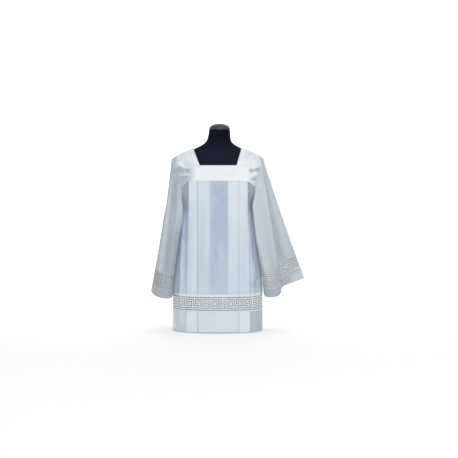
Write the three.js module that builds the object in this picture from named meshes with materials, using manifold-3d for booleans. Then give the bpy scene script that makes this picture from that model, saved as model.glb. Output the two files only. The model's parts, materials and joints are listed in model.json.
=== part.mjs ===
// Surplice on a countertop dress form: square neck yoke, two knife pleats on each side of the
// front and back, key pattern lace round skirt and sleeves. Millimetres, +Z up, wearer faces -Y.
// The origin lies on the floor, on the axis of the neck.
import * as THREE from 'three';
import { mergeVertices } from 'three/addons/utils/BufferGeometryUtils.js';
import Module from 'manifold-3d';

const wasm = await Module();
wasm.setup();

// ---- driving sizes -------------------------------------------------------------------------
const CLOTH = 1.2; // wall of the single cloth
const HEM_CLOTH = 1.6; // wall where the cloth is doubled
const SEAM = 0.3; // gap between two pieces at a seam
const RIDGE_GAP = 1.1; // gap at the shoulder seam, whose edges lean together
const YOKE_GAP = 0.8; // gap below the yoke, whose edge tilts
const HEM_Z = 6; // hem above the floor
const LEFT_SPREAD = 8; // how much more the left side stands out, from the lace down
const LACE_LOW_Z = 113; // lace on the skirt, lower and upper edge
const LACE_HIGH_Z = 201;
const UNDERARM_Z = 632;
const YOKE_LOW_Z = 777; // lower edge of the yoke at the middle
const YOKE_CORNER_Z = 748; // and where it meets the armhole
const YOKE_DIP_FROM = 150; // half widths between which that edge dips
const YOKE_DIP_TO = 188;
const YOKE_HALF = 242; // half width of the yoke's plan
const SECTION_POWER = 3; // how square the body's plan is

const LAYER = 2.1; // depth from one layer of a pleat to the next
const CENTRE_HALF = 101.5; // middle panel, half width between its folded edges
const CENTRE_UNDERFOLD = 53;
const SIDE_FOLD_TOP = 148; // second folded edge, half width at the yoke and at the hem
const SIDE_FOLD_HEM = 162;
const SIDE_UNDERFOLD = 50;
const SIDE_EASE = 1.4; // crowds the side panel's columns towards the fold

const NECK_TOP_RIGHT = 121; // neckline at the shoulder seam, from the middle to each side
const NECK_TOP_LEFT = 131;
const NECK_LOW_HALF = 94; // neckline at its straight lower edge
const NECK_FRONT_Z = 855;
const NECK_BACK_Z = 893;
const SHOULDER_DROP = 200; // height over which the yoke turns from level to upright
const CHEST_DEPTH = 131; // half depth of the yoke

const LACE_SLEEVE = 82; // height of the lace on a sleeve
const CUFF = 45; // depth of the cuff band below it
const SLEEVE_CLEAR = 4.5; // sleeve to body, once it has opened out below the underarm
const UNDERARM_CLEAR = 1.8; // and at the underarm itself
const CLEAR_GROWTH = 0.02; // growth of that gap for each millimetre further down
const ARMHOLE_GAP = 0.4; // sleeve to yoke at the shoulder
const ARMHOLE_GAP_LOW = 1.9; // added to it at the underarm, where the wall slants

const KEY_PITCH = 10.07; // key pattern: column pitch, row pitch and width of an open line
const KEY_ROW = 10.7;
const KEY_LINE = 4.6;
const KEY_PERIOD = 8; // columns in one repeat
const KEY_RING = 7; // column of the small square's middle
const RING_FROM_CENTRE = -13.1; // a small square's middle, from the middle of the front
const KEY_DOWN = 4.5; // how far the pattern on the skirt lies below the middle of its band
const BRIDGE = 3; // cloth left at folds and between the border slots
const LACE_CUT = CLOTH + 0.8; // reach of a cut in the skirt's lace, short of the layer below
const SLEEVE_LACE_CUT = 3;
const STATION_CLEAR = 1.2; // a cutter has no station nearer than this to its ends
const MERGE = 0.2; // points nearer than this to a flat face or straight edge are dropped

// ---- short tables --------------------------------------------------------------------------
// Plan of the body by height: half width and half depth.
const BODY = [
  { z: 0, wide: 230, deep: 150 },
  { z: 202, wide: 231, deep: 148 },
  { z: 316, wide: 223, deep: 146 },
  { z: 394, wide: 211, deep: 144 },
  { z: 467, wide: 201, deep: 142 },
  { z: 550, wide: 193, deep: 139 },
  { z: 632, wide: 186, deep: 136 },
  { z: 654, wide: 187.5, deep: 135 },
  { z: 700, wide: 205, deep: 133.5 },
  { z: 748, wide: 236, deep: 131.5 },
  { z: 777, wide: 242, deep: 130 },
];

// Shoulder seam, seen from the front.
const RIDGE = [
  { x: 0, z: 955 },
  { x: 94, z: 951 },
  { x: 125, z: 945.5 },
  { x: 165, z: 930 },
  { x: 204, z: 914 },
  { x: 235, z: 891 },
];

// Armhole seam from the shoulder to the underarm; y is the distance in front of or behind the
// shoulder seam, puff is how far the sleeve stands out just below the seam, and swag how far it
// then hangs back over the body.
const ARMHOLE = [
  { x: 204, y: 0, z: 914, puff: 22, swag: 0 },
  { x: 213, y: 24, z: 892, puff: 15, swag: 0 },
  { x: 220, y: 47, z: 866, puff: 8, swag: 0 },
  { x: 225, y: 72, z: 838, puff: 5, swag: 0 },
  { x: 217, y: 91, z: 805, puff: 5, swag: 2 },
  { x: 203, y: 101, z: 774, puff: 7, swag: 9 },
  { x: 188, y: 105, z: 748, puff: 6, swag: 20 },
  { x: 183, y: 88, z: 700, puff: 4, swag: 12 },
  { x: 184, y: 48, z: 654, puff: 0, swag: 2 },
  { x: 186, y: 0, z: 632, puff: 0, swag: 0 },
];
// Shares of the way down a sleeve at which the swag is full, starts to end and has ended.
const SWAG_RIGHT = { full: 0.2, ends: 0.45, ended: 0.85 };
const SWAG_LEFT = { full: 0.2, ends: 0.22, ended: 0.5 };
const LEFT_SHOULDER = 14; // added to the puff at the top of the left sleeve


// Lower edge of each sleeve, from the outer fold over the front, the inner side and the back.
const CUFF_RIGHT = [
  { x: 449, y: 0, z: 266 },
  { x: 394, y: -32, z: 250 },
  { x: 334, y: -42, z: 226 },
  { x: 322, y: -85, z: 203 },
  { x: 304, y: -122, z: 188 },
  { x: 272, y: -133, z: 183 },
  { x: 245, y: -108, z: 183 },
  { x: 238, y: -62, z: 184 },
  { x: 237, y: -22, z: 185 },
  { x: 237, y: 18, z: 187 },
  { x: 240, y: 58, z: 189 },
  { x: 250, y: 98, z: 192 },
  { x: 276, y: 118, z: 197 },
  { x: 308, y: 108, z: 207 },
  { x: 330, y: 80, z: 220 },
  { x: 354, y: 56, z: 232 },
  { x: 388, y: 40, z: 246 },
  { x: 422, y: 22, z: 258 },
];
const CUFF_LEFT = [
  { x: 347, y: 0, z: 209 },
  { x: 347, y: -46, z: 204 },
  { x: 336, y: -88, z: 196 },
  { x: 316, y: -122, z: 188 },
  { x: 288, y: -142, z: 181 },
  { x: 260, y: -136, z: 177 },
  { x: 243, y: -104, z: 176 },
  { x: 238, y: -62, z: 176 },
  { x: 237, y: -20, z: 177 },
  { x: 237, y: 22, z: 178 },
  { x: 238, y: 64, z: 180 },
  { x: 246, y: 106, z: 183 },
  { x: 268, y: 136, z: 187 },
  { x: 298, y: 140, z: 193 },
  { x: 318, y: 116, z: 199 },
  { x: 328, y: 92, z: 203 },
  { x: 338, y: 64, z: 207 },
  { x: 345, y: 32, z: 209 },
];
const SLEEVE_ROWS = [0, 0.04, 0.2, 0.45, 1]; // share of the way from seam to lace

// The dress form: level sections from hip to neck.
const TORSO = [
  { z: 300, wide: 138, deep: 100, power: 2.3 },
  { z: 312, wide: 150, deep: 110, power: 2.3 },
  { z: 400, wide: 160, deep: 116, power: 2.3 },
  { z: 540, wide: 140, deep: 102, power: 2.3 },
  { z: 640, wide: 150, deep: 106, power: 2.4 },
  { z: 740, wide: 170, deep: 112, power: 2.5 },
  { z: 800, wide: 186, deep: 113, power: 2.5 },
  { z: 850, wide: 193, deep: 104, power: 2.4 },
  { z: 880, wide: 194, deep: 93, power: 2 },
  { z: 900, wide: 192, deep: 86, power: 1.7 },
  { z: 914, wide: 184, deep: 80, power: 1.55 },
  { z: 925, wide: 170.5, deep: 73.5, power: 1.5 },
  { z: 935, wide: 138.5, deep: 71.5, power: 1.5 },
  { z: 946, wide: 115, deep: 67, power: 1.6 },
  { z: 958, wide: 91.5, deep: 63, power: 1.8 },
  { z: 972, wide: 72, deep: 59, power: 2 },
  { z: 987, wide: 62, deep: 56, power: 2 },
  { z: 1006, wide: 58, deep: 55, power: 2 },
  { z: 1038, wide: 54, deep: 54, power: 2 },
];
const TORSO_SIDES = 32;
const NECK_LEAN = 6; // the neck and its cap stand off the axis to the right
const CAP_RADIUS = 55;
const CAP_RIM = 4;
const CAP_DOME = 29;
const POLE_RADIUS = 16;
const BASE_RADIUS = 128;
const BASE_HEIGHT = 10;
const BASE_BEVEL = 3;

// ---- materials -----------------------------------------------------------------------------
const paint = (color, roughness, metalness = 0) =>
  new THREE.MeshStandardMaterial({ color, roughness, metalness });
const BATISTE = paint('#dfe4ea', 0.85);
const DOUBLED = paint('#f3f5f8', 0.82);
const LACE = paint('#d3d6d8', 0.85);
const JERSEY = paint('#1d2033', 0.8);
const CAP_GREY = paint('#4d5d6b', 0.45);
const STEEL = paint('#c3c6c9', 0.5, 0.2);

// ---- small tools ---------------------------------------------------------------------------
const group = new THREE.Group();
const lerp = THREE.MathUtils.lerp;
const smooth = (x) => THREE.MathUtils.smoothstep(x, 0, 1);
const point = (x, y, z) => new THREE.Vector3(x, y, z);

// Value of one column of a table at a given place, with straight lines between its rows.
function look(table, key, at, column) {
  const last = table.length - 1;
  let row = 0;
  while (row < last - 1 && table[row + 1][key] < at) row += 1;
  const share = (at - table[row][key]) / (table[row + 1][key] - table[row][key]);
  return lerp(table[row][column], table[row + 1][column], THREE.MathUtils.clamp(share, 0, 1));
}

function addMesh(name, geometry, material) {
  const mesh = new THREE.Mesh(geometry, material);
  mesh.name = name;
  group.add(mesh);
  return mesh;
}

function indexed(positions, triangles) {
  const geometry = new THREE.BufferGeometry();
  geometry.setAttribute('position', new THREE.Float32BufferAttribute(positions, 3));
  geometry.setIndex(triangles);
  return geometry;
}

// Signed volume, to turn a shell inside out where its points run the other way round.
function volume(positions, triangles) {
  let sum = 0;
  const at = (k) => new THREE.Vector3().fromArray(positions, 3 * triangles[k]);
  for (let k = 0; k < triangles.length; k += 3) {
    sum += at(k).dot(at(k + 1).cross(at(k + 2)));
  }
  return sum / 6;
}

function outwards(positions, triangles) {
  if (volume(positions, triangles) < 0) {
    for (let k = 0; k < triangles.length; k += 3) {
      [triangles[k + 1], triangles[k + 2]] = [triangles[k + 2], triangles[k + 1]];
    }
  }
  return indexed(positions, triangles);
}

// A wall of even thickness through a grid of points, grid[column][row]. Its two faces lie half
// the thickness to each side, mitred where the cloth turns. keep(column, row) drops cells, and
// crossed(column) splits a column's cells along their other diagonal.
function clothWall(grid, thickness, options = {}) {
  const { closed = false, keep = () => true, crossed = () => false } = options;
  const columns = grid.length;
  const rows = grid[0].length;
  const cells = closed ? columns : columns - 1;
  const wrap = (c) => (c + columns) % columns;
  const kept = (c, r) => {
    const inside = r >= 0 && r < rows - 1 && (closed || (c >= 0 && c < cells));
    return inside && keep(wrap(c), r);
  };
  const cellNormal = (c, r) => {
    const across = grid[wrap(c + 1)][r + 1].clone().sub(grid[wrap(c)][r]);
    const down = grid[wrap(c)][r + 1].clone().sub(grid[wrap(c + 1)][r]);
    return across.cross(down).normalize();
  };
  const sideNormal = (c, r) => {
    const sum = new THREE.Vector3();
    for (const row of [r - 1, r]) {
      if (kept(c, row)) sum.add(cellNormal(c, row));
    }
    return sum;
  };
  const offset = (c, r) => {
    const before = sideNormal(c - 1, r);
    const after = sideNormal(c, r);
    if (before.lengthSq() === 0) return after.normalize();
    if (after.lengthSq() === 0) return before.normalize();
    before.normalize();
    after.normalize();
    const mitre = 1 + before.dot(after);
    return before.add(after).divideScalar(Math.max(mitre, 0.6));
  };

  const positions = [];
  const slots = new Map();
  const vertex = (c, r, face) => {
    const column = wrap(c);
    const key = (column * rows + r) * 2 + (face > 0 ? 1 : 0);
    if (!slots.has(key)) {
      slots.set(key, positions.length / 3);
      const moved = offset(column, r).multiplyScalar((face * thickness) / 2).add(grid[column][r]);
      positions.push(moved.x, moved.y, moved.z);
    }
    return slots.get(key);
  };
  const triangles = [];
  const quad = (a, b, c, d) => triangles.push(a, b, c, a, c, d);
  const rim = (c1, r1, c2, r2) =>
    quad(vertex(c1, r1, 1), vertex(c1, r1, -1), vertex(c2, r2, -1), vertex(c2, r2, 1));
  for (let c = 0; c < cells; c += 1) {
    for (let r = 0; r < rows - 1; r += 1) {
      if (!kept(c, r)) continue;
      const corners = [[c, r], [c + 1, r], [c + 1, r + 1], [c, r + 1]];
      if (crossed(c)) corners.push(corners.shift());
      quad(...corners.map(([col, row]) => vertex(col, row, 1)));
      const [p, q, s, t] = corners.map(([col, row]) => vertex(col, row, -1));
      triangles.push(p, s, q, p, t, s);
      if (!kept(c, r - 1)) rim(c, r, c + 1, r);
      if (!kept(c + 1, r)) rim(c + 1, r, c + 1, r + 1);
      if (!kept(c, r + 1)) rim(c + 1, r + 1, c, r + 1);
      if (!kept(c - 1, r)) rim(c, r + 1, c, r);
    }
  }
  return outwards(positions, triangles);
}

// Twice as many points on a smooth curve through a ring or an open row of points.
function refine(points, closed) {
  const curve = new THREE.CatmullRomCurve3(points, closed, 'catmullrom', 0.5);
  const steps = closed ? points.length : points.length - 1;
  const finer = [];
  for (let k = 0; k < 2 * steps + (closed ? 0 : 1); k += 1) {
    finer.push(curve.getPoint(k / (2 * steps)));
  }
  return finer;
}

// ---- body: plan, pleats and panels ---------------------------------------------------------
const bodyWide = (z) => look(BODY, 'z', z, 'wide');
const bodyDeep = (z) => look(BODY, 'z', z, 'deep');
const squared = (share) => (1 - share ** SECTION_POWER) ** (1 / SECTION_POWER);
const sideFold = (z) =>
  lerp(SIDE_FOLD_HEM, SIDE_FOLD_TOP, THREE.MathUtils.clamp(z / YOKE_LOW_Z, 0, 1));

// Point of the body's plan at an angle from the middle, with the direction square to the plan.
function planPoint(angle, z) {
  const wide = bodyWide(z);
  const deep = bodyDeep(z);
  const x = wide * Math.sin(angle) ** (2 / SECTION_POWER);
  const y = deep * Math.cos(angle) ** (2 / SECTION_POWER);
  const nx = x ** (SECTION_POWER - 1) / wide ** SECTION_POWER;
  const ny = y ** (SECTION_POWER - 1) / deep ** SECTION_POWER;
  const length = Math.hypot(nx, ny);
  return { x, y, outX: nx / length, outY: ny / length };
}
const angleAtX = (x, z) => Math.asin(Math.min(1, x / bodyWide(z)) ** (SECTION_POWER / 2));
const angleAtY = (y, z) => Math.acos(Math.min(1, y / bodyDeep(z)) ** (SECTION_POWER / 2));

// Columns of one half, from the middle to the side: where each lies and in which layer.
function pleatColumns() {
  const columns = [];
  const panel = (from, to, layer, steps) => {
    for (let k = 0; k <= steps; k += 1) {
      columns.push({ x: (z) => lerp(from(z), to(z), k / steps), layer });
    }
  };
  const middle = () => 0;
  const centreFold = () => CENTRE_HALF;
  const centreUnder = () => CENTRE_HALF - CENTRE_UNDERFOLD;
  const sideUnder = (z) => sideFold(z) - SIDE_UNDERFOLD;
  panel(middle, centreFold, 0, 2);
  panel(centreFold, centreUnder, 1, 1);
  panel(centreUnder, sideUnder, 2, 1);
  columns.push({ x: sideFold, layer: 2 });
  panel(sideFold, sideUnder, 3, 1);
  panel(sideUnder, sideFold, 4, 1);
  const steps = 5;
  for (let k = 1; k <= steps; k += 1) columns.push({ side: k / steps, layer: 4 });
  return columns;
}
const HALF_COLUMNS = pleatColumns();

const ARMHOLE_POINTS = refine(ARMHOLE.map((row) => point(row.x, row.y, row.z)), false);
const YOKE_STEPS = 12; // armhole points from the shoulder to the yoke's corner
const ARMHOLE_STEPS = ARMHOLE_POINTS.length - 1;

function yokeEdge(x) {
  const dip = smooth((x - YOKE_DIP_FROM) / (YOKE_DIP_TO - YOKE_DIP_FROM));
  return lerp(YOKE_LOW_Z, YOKE_CORNER_Z, dip);
}

// One point of the right half of the body, y counted outwards from the middle plane. row is a
// height below the underarm, or { step } for a line through an armhole point above it.
function bodyPoint(column, row) {
  const armhole = row.step === undefined ? null : ARMHOLE_POINTS[row.step];
  const rise = armhole ? (armhole.z - UNDERARM_Z) / (YOKE_CORNER_Z - UNDERARM_Z) : 0;
  const height = (x) => (armhole ? lerp(UNDERARM_Z, yokeEdge(x), rise) - row.drop : row.z);
  if (column.side === undefined) {
    const z = height(column.x(row.z ?? YOKE_LOW_Z));
    const x = column.x(z);
    const plan = planPoint(angleAtX(x, z), z);
    return point(x, plan.y - (column.layer * LAYER) / plan.outY, z);
  }
  const end = armhole ? armhole.x : bodyWide(row.z);
  const z = height(lerp(sideFold(row.z ?? YOKE_LOW_Z), end, armhole ? column.side : 1));
  const from = angleAtX(sideFold(z), z);
  const seamY = armhole ? armhole.y : 0;
  const to = angleAtY(seamY, z);
  const share = 1 - (1 - column.side) ** SIDE_EASE;
  const plan = planPoint(lerp(from, to, share), z);
  const inward = (1 - column.side) * column.layer * LAYER;
  const pull = armhole ? (armhole.x - planPoint(to, z).x) * column.side ** 2 : 0;
  const x = plan.x - plan.outX * inward + pull;
  return point(x, Math.max(plan.y - plan.outY * inward, SEAM / 2), z);
}

// How much further out the left side stands at a height.
const leftSpread = (z) => LEFT_SPREAD * smooth((UNDERARM_Z - z) / (UNDERARM_Z - LACE_HIGH_Z));

function spreadSide(p, side) {
  if (side > 0) return p.x;
  const share = (p.x - sideFold(p.z)) / (bodyWide(p.z) - sideFold(p.z));
  return p.x + leftSpread(p.z) * THREE.MathUtils.clamp(share, 0, 1);
}

// Grid of a whole front (face -1) or back (face 1) between two rows or more.
function bodyGrid(rows, face) {
  const half = HALF_COLUMNS.map((column) => rows.map((row) => bodyPoint(column, row)));
  const place = (side) => (line) =>
    line.map((p) => point(side * spreadSide(p, side), face * p.y, p.z));
  const left = half.slice(1).reverse().map(place(-1));
  return [...left, ...half.map(place(1))];
}

// True for the cells of a fold's return, which then bend as the layers over and under them do.
function returning(cell) {
  const middle = HALF_COLUMNS.length - 1;
  const k = cell >= middle ? cell - middle : middle - 1 - cell;
  const { layer } = HALF_COLUMNS[k];
  return layer % 2 === 1 && HALF_COLUMNS[k + 1].layer === layer;
}
const bodyWall = (rows, face, thickness) =>
  clothWall(bodyGrid(rows, face), thickness, { crossed: returning });

const upperRows = [];
for (let step = ARMHOLE_STEPS; step >= YOKE_STEPS; step -= 2) {
  upperRows.push({ step, drop: step === YOKE_STEPS ? YOKE_GAP : 0 });
}
const PANEL_ROWS = [{ z: LACE_HIGH_Z + SEAM }, { z: 316 }, { z: 394 }, { z: 512 }, ...upperRows];
const LACE_ROWS = [{ z: LACE_LOW_Z + SEAM / 2 }, { z: LACE_HIGH_Z }];
const HEM_ROWS = [{ z: HEM_Z }, { z: LACE_LOW_Z - SEAM / 2 }];

// ---- yoke ----------------------------------------------------------------------------------
const ridgeZ = (x) => look(RIDGE, 'x', x, 'z');

// Distance of the yoke from the plane of the shoulder seam.
function yokeDepth(x, z) {
  const turn = THREE.MathUtils.clamp((ridgeZ(x) - z) / SHOULDER_DROP, 0, 1);
  return CHEST_DEPTH * squared(x / YOKE_HALF) * Math.sqrt(1 - (1 - turn) ** 2);
}

const NECK_ROW = 6; // the neckline's lower edge runs into this row
const STRAP_COLUMNS = 6;
const FRONT_COLUMNS = 3;

// Right or left half of the yoke, from the middle to the armhole, with y counted outwards.
function yokeHalf(neckTop, neckZ) {
  const half = [];
  for (let c = 0; c <= FRONT_COLUMNS + STRAP_COLUMNS; c += 1) {
    const line = [];
    for (let row = 0; row <= YOKE_STEPS; row += 1) {
      const arm = ARMHOLE_POINTS[row];
      const down = Math.min(1, row / NECK_ROW);
      const below = Math.max(0, (row - NECK_ROW) / (YOKE_STEPS - NECK_ROW));
      const neckX = lerp(neckTop, NECK_LOW_HALF, down);
      const neckLine = lerp(ridgeZ(neckTop), neckZ, down);
      const strap = Math.max(0, (c - FRONT_COLUMNS) / STRAP_COLUMNS);
      const x = c <= FRONT_COLUMNS ? (neckX * c) / FRONT_COLUMNS : lerp(neckX, arm.x, strap);
      const top = row < NECK_ROW ? neckLine : neckZ;
      let z = lerp(lerp(top, YOKE_LOW_Z, below), arm.z, strap ** 1.5);
      if (row === 0) z = ridgeZ(x);
      if (row === YOKE_STEPS) z = yokeEdge(x);
      const miss = arm.y - yokeDepth(arm.x, arm.z);
      const y = row === 0 ? RIDGE_GAP / 2 : yokeDepth(x, z) + miss * strap ** 2;
      line.push(point(x - strap ** 8 * SEAM, y, z));
    }
    half.push(line);
  }
  return half;
}

function yokeGrid(face, neckZ) {
  const place = (side) => (line) => line.map((p) => point(side * p.x, face * p.y, p.z));
  const left = yokeHalf(NECK_TOP_LEFT, neckZ).slice(1).reverse().map(place(-1));
  return [...left, ...yokeHalf(NECK_TOP_RIGHT, neckZ).map(place(1))];
}

function yokeWall(face, neckZ) {
  const grid = yokeGrid(face, neckZ);
  const last = grid.length - 2;
  const strap = (c) => c < STRAP_COLUMNS || c > last - STRAP_COLUMNS;
  return clothWall(grid, HEM_CLOTH, { keep: (c, r) => r >= NECK_ROW || strap(c) });
}

// ---- sleeves -------------------------------------------------------------------------------
const RING = 2 * ARMHOLE_STEPS; // points round a sleeve

// The body's outer side at some height and depth, to keep the sleeve clear of it.
function bodySide(y, z) {
  const share = Math.abs(y) / bodyDeep(z);
  return share < 1 ? bodyWide(z) * squared(share) : 0;
}

// Value of a column of ARMHOLE at one of the sleeve's lines.
const ARMHOLE_STEPPED = ARMHOLE.map((row, at) => ({ ...row, at }));
const armholeValue = (column, step) => look(ARMHOLE_STEPPED, 'at', step / 2, column);

// Lines down one sleeve, for a sleeve on the +X side. fall says how its swag ends, spread how
// much further out the body stands at a height, and shoulder what is added to its puff.
function sleeveLines(cuffTable, { fall, spread, shoulder }) {
  const cuff = refine(cuffTable.map((row) => point(row.x, row.y, row.z)), true);
  const middle = cuff.reduce((sum, p) => sum.add(p), point(0, 0, 0)).divideScalar(RING);
  return cuff.map((bottom, k) => {
    const step = k <= ARMHOLE_STEPS ? k : RING - k;
    const seam = ARMHOLE_POINTS[step];
    const face = k <= ARMHOLE_STEPS ? -1 : 1;
    const low = (ARMHOLE_POINTS[0].z - seam.z) / (ARMHOLE_POINTS[0].z - UNDERARM_Z);
    const gap = ARMHOLE_GAP + ARMHOLE_GAP_LOW * low ** 2;
    const top = point(seam.x + gap, face * seam.y, seam.z - SEAM);
    const away = point(bottom.x - middle.x, bottom.y - middle.y, 0).normalize();
    const puff = armholeValue('puff', step) + shoulder * Math.max(0, 1 - step / NECK_ROW);
    const swag = armholeValue('swag', step);
    return { top, bottom, away, puff, swag, fall, spread };
  });
}

function sleevePoint(line, share) {
  const p = line.top.clone().lerp(line.bottom, share);
  p.addScaledVector(line.away, line.puff * (1 - share) ** 2 * smooth(share / SLEEVE_ROWS[1]));
  const { full, ends, ended } = line.fall;
  const below = smooth((share - SLEEVE_ROWS[1]) / (full - SLEEVE_ROWS[1]));
  p.x -= line.swag * below * (1 - smooth((share - ends) / (ended - ends)));
  if (p.z < UNDERARM_Z) {
    const clear = Math.min(SLEEVE_CLEAR, UNDERARM_CLEAR + CLEAR_GROWTH * (UNDERARM_Z - p.z));
    p.x = Math.max(p.x, bodySide(p.y, p.z) + line.spread(p.z) + clear);
  }
  return p;
}

// Share of a line at a distance above its lower end.
const above = (line, distance) => 1 - distance / line.top.distanceTo(line.bottom);

function sleeveGrid(lines, side, shares) {
  const place = (p) => point(side * p.x, p.y, p.z);
  return lines.map((line) => shares(line).map((share) => place(sleevePoint(line, share))));
}

// Sets every second point of the last row on the line between its neighbours, where a coarser
// band is joined.
function straightenLastRow(grid) {
  const row = grid[0].length - 1;
  for (let c = 1; c < grid.length; c += 2) {
    const next = grid[(c + 1) % grid.length][row];
    grid[c][row] = grid[c - 1][row].clone().lerp(next, 0.5);
  }
}

// An edge line moved towards the next one, so that the wall just clears its other half beyond.
function splitEdge(line, next, beyond) {
  return line.map((p, row) => {
    const ahead = next[row].clone().sub(p).normalize();
    const behind = p.clone().sub(beyond[row]).normalize();
    const turn = ahead.angleTo(behind);
    return p.clone().addScaledVector(ahead, SEAM / 2 + (CLOTH / 2) * Math.tan(turn / 2));
  });
}

// ---- lace ----------------------------------------------------------------------------------
// One repeat of the key, as open lines through (column, row); row 0 to 4 lie between the borders.
const KEY_PATH = [
  [3, 1], [5, 1], [5, 4], [12, 4], [12, 2],
  [10, 2], [10, 0], [17, 0], [17, 3], [19, 3],
];
const BORDER_ROWS = [-1, 5];

// Distance along a grid's middle line at each of its columns.
function runLengths(grid) {
  const middle = (line) => line[0].clone().lerp(line[1], 0.5);
  const lengths = [0];
  for (let c = 1; c < grid.length; c += 1) {
    lengths.push(lengths[c - 1] + middle(grid[c]).distanceTo(middle(grid[c - 1])));
  }
  return lengths;
}

// Point of a wall's middle surface, two triangles to a cell, at a distance along it and a share
// of its height.
function laceSurface(grid, lengths) {
  return (u, height) => {
    let c = 0;
    while (c < lengths.length - 2 && lengths[c + 1] < u) c += 1;
    const share = (u - lengths[c]) / (lengths[c + 1] - lengths[c]);
    const [low, high] = grid[c];
    const [nextLow, nextHigh] = grid[c + 1];
    const p = low.clone();
    if (share >= height) {
      return p.addScaledVector(nextLow, share).addScaledVector(low, -share)
        .addScaledVector(nextHigh, height).addScaledVector(nextLow, -height);
    }
    return p.addScaledVector(high, height).addScaledVector(low, -height)
      .addScaledVector(nextHigh, share).addScaledVector(high, -share);
  };
}

const sortedUnique = (values) => {
  const sorted = [...values].sort((p, q) => p - q);
  return sorted.filter((value, k) => k === 0 || value - sorted[k - 1] > MERGE);
};

// One block through the wall that covers a few boxes { u0, u1, h0, h1 } joined in a line.
function laceCutter(at, stations, boxes, through) {
  const first = Math.min(...boxes.map((box) => box.u0));
  const last = Math.max(...boxes.map((box) => box.u1));
  const edges = boxes.flatMap((box) => [box.u0, box.u1]);
  const between = stations.filter(
    (u) => u > first && u < last && edges.every((edge) => Math.abs(edge - u) > STATION_CLEAR),
  );
  const us = sortedUnique([...edges, ...between]);
  const hs = [...new Set(boxes.flatMap((box) => [box.h0, box.h1]))].sort((p, q) => p - q);
  const inside = (box, u, h) => u > box.u0 && u < box.u1 && h > box.h0 && h < box.h1;
  const keep = (c, r) => {
    const u = (us[c] + us[c + 1]) / 2;
    const h = (hs[r] + hs[r + 1]) / 2;
    return boxes.some((box) => inside(box, u, h));
  };
  return clothWall(us.map((u) => hs.map((h) => at(u, h))), through, { keep });
}

// Cuts the key pattern in a wall of one row of cells. spans are the stretches that show, zero is
// the distance of column 0, pitch the width of a column, tall the height of the band, down how
// far the pattern lies below its middle and through the reach of a cut across the wall.
function laceWall(grid, { spans, zero, pitch, tall, down = 0, through, crossed }) {
  const lengths = runLengths(grid);
  const at = laceSurface(grid, lengths);
  const middleRow = 2;
  const half = KEY_LINE / 2;
  const level = (row) => 0.5 + ((middleRow - row) * KEY_ROW - down) / tall;
  const cutters = [];
  const cut = (boxes) => {
    for (const span of spans) {
      const shown = boxes
        .map((box) => ({ ...box, u0: Math.max(box.u0, span[0]), u1: Math.min(box.u1, span[1]) }))
        .filter((box) => box.u1 - box.u0 > KEY_LINE - 0.1);
      if (shown.length > 0) cutters.push(toSolid(laceCutter(at, lengths, shown, through)));
    }
  };
  const boxOf = ([colA, rowA], [colB, rowB], shift) => ({
    u0: zero + (Math.min(colA, colB) + shift) * pitch - half,
    u1: zero + (Math.max(colA, colB) + shift) * pitch + half,
    h0: level(Math.max(rowA, rowB)) - half / tall,
    h1: level(Math.min(rowA, rowB)) + half / tall,
  });
  const length = lengths[lengths.length - 1];
  const first = Math.floor(-zero / pitch / KEY_PERIOD) - 3;
  const count = Math.ceil(length / pitch / KEY_PERIOD) + 5;
  for (let repeat = first; repeat < first + count; repeat += 1) {
    const shift = repeat * KEY_PERIOD;
    cut(KEY_PATH.slice(1).map((end, k) => boxOf(KEY_PATH[k], end, shift)));
    const bridge = BRIDGE / pitch;
    for (const row of BORDER_ROWS) cut([boxOf([bridge, row], [KEY_PERIOD - bridge, row], shift)]);
  }
  const wall = toSolid(clothWall(grid, CLOTH, { crossed }));
  return fromSolid(wall.subtract(wasm.Manifold.union(cutters)).asOriginal().simplify(MERGE));
}

function toSolid(geometry) {
  const merged = mergeVertices(geometry, 1e-4);
  const vertProperties = new Float32Array(merged.attributes.position.array);
  const triVerts = new Uint32Array(merged.index.array);
  return new wasm.Manifold(new wasm.Mesh({ numProp: 3, vertProperties, triVerts }));
}

function fromSolid(solid) {
  const mesh = solid.getMesh();
  return indexed(Array.from(mesh.vertProperties), Array.from(mesh.triVerts));
}

// Stretches of the skirt's lace that are not hidden in a fold, as distances along its grid.
function shownSpans(lengths) {
  const half = HALF_COLUMNS.length;
  const span = (from, to) => [lengths[half - 1 + from] + BRIDGE, lengths[half - 1 + to] - BRIDGE];
  const mirrored = ([from, to]) => {
    const whole = lengths[lengths.length - 1];
    return [whole - to, whole - from];
  };
  const centre = [lengths[half - 3] + BRIDGE, lengths[half + 1] - BRIDGE];
  const beside = span(5, 7);
  beside[0] += CENTRE_UNDERFOLD;
  const side = span(11, half - 1);
  return [centre, beside, mirrored(beside), side, mirrored(side)];
}

// ---- put together --------------------------------------------------------------------------
for (const [name, face, neckZ] of [['front', -1, NECK_FRONT_Z], ['back', 1, NECK_BACK_Z]]) {
  addMesh(`yoke_${name}`, yokeWall(face, neckZ), DOUBLED);
  addMesh(`body_${name}`, bodyWall(PANEL_ROWS, face, CLOTH), BATISTE);
  const laceGrid = bodyGrid(LACE_ROWS, face);
  const lengths = runLengths(laceGrid);
  const lace = {
    spans: shownSpans(lengths),
    zero: lengths[lengths.length - 1] / 2 + RING_FROM_CENTRE - KEY_RING * KEY_PITCH,
    pitch: KEY_PITCH,
    tall: LACE_HIGH_Z - LACE_LOW_Z,
    down: KEY_DOWN,
    through: LACE_CUT,
    crossed: returning,
  };
  addMesh(`lace_${name}`, laceWall(laceGrid, lace), LACE);
  addMesh(`hem_${name}`, bodyWall(HEM_ROWS, face, HEM_CLOTH), DOUBLED);
}

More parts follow.
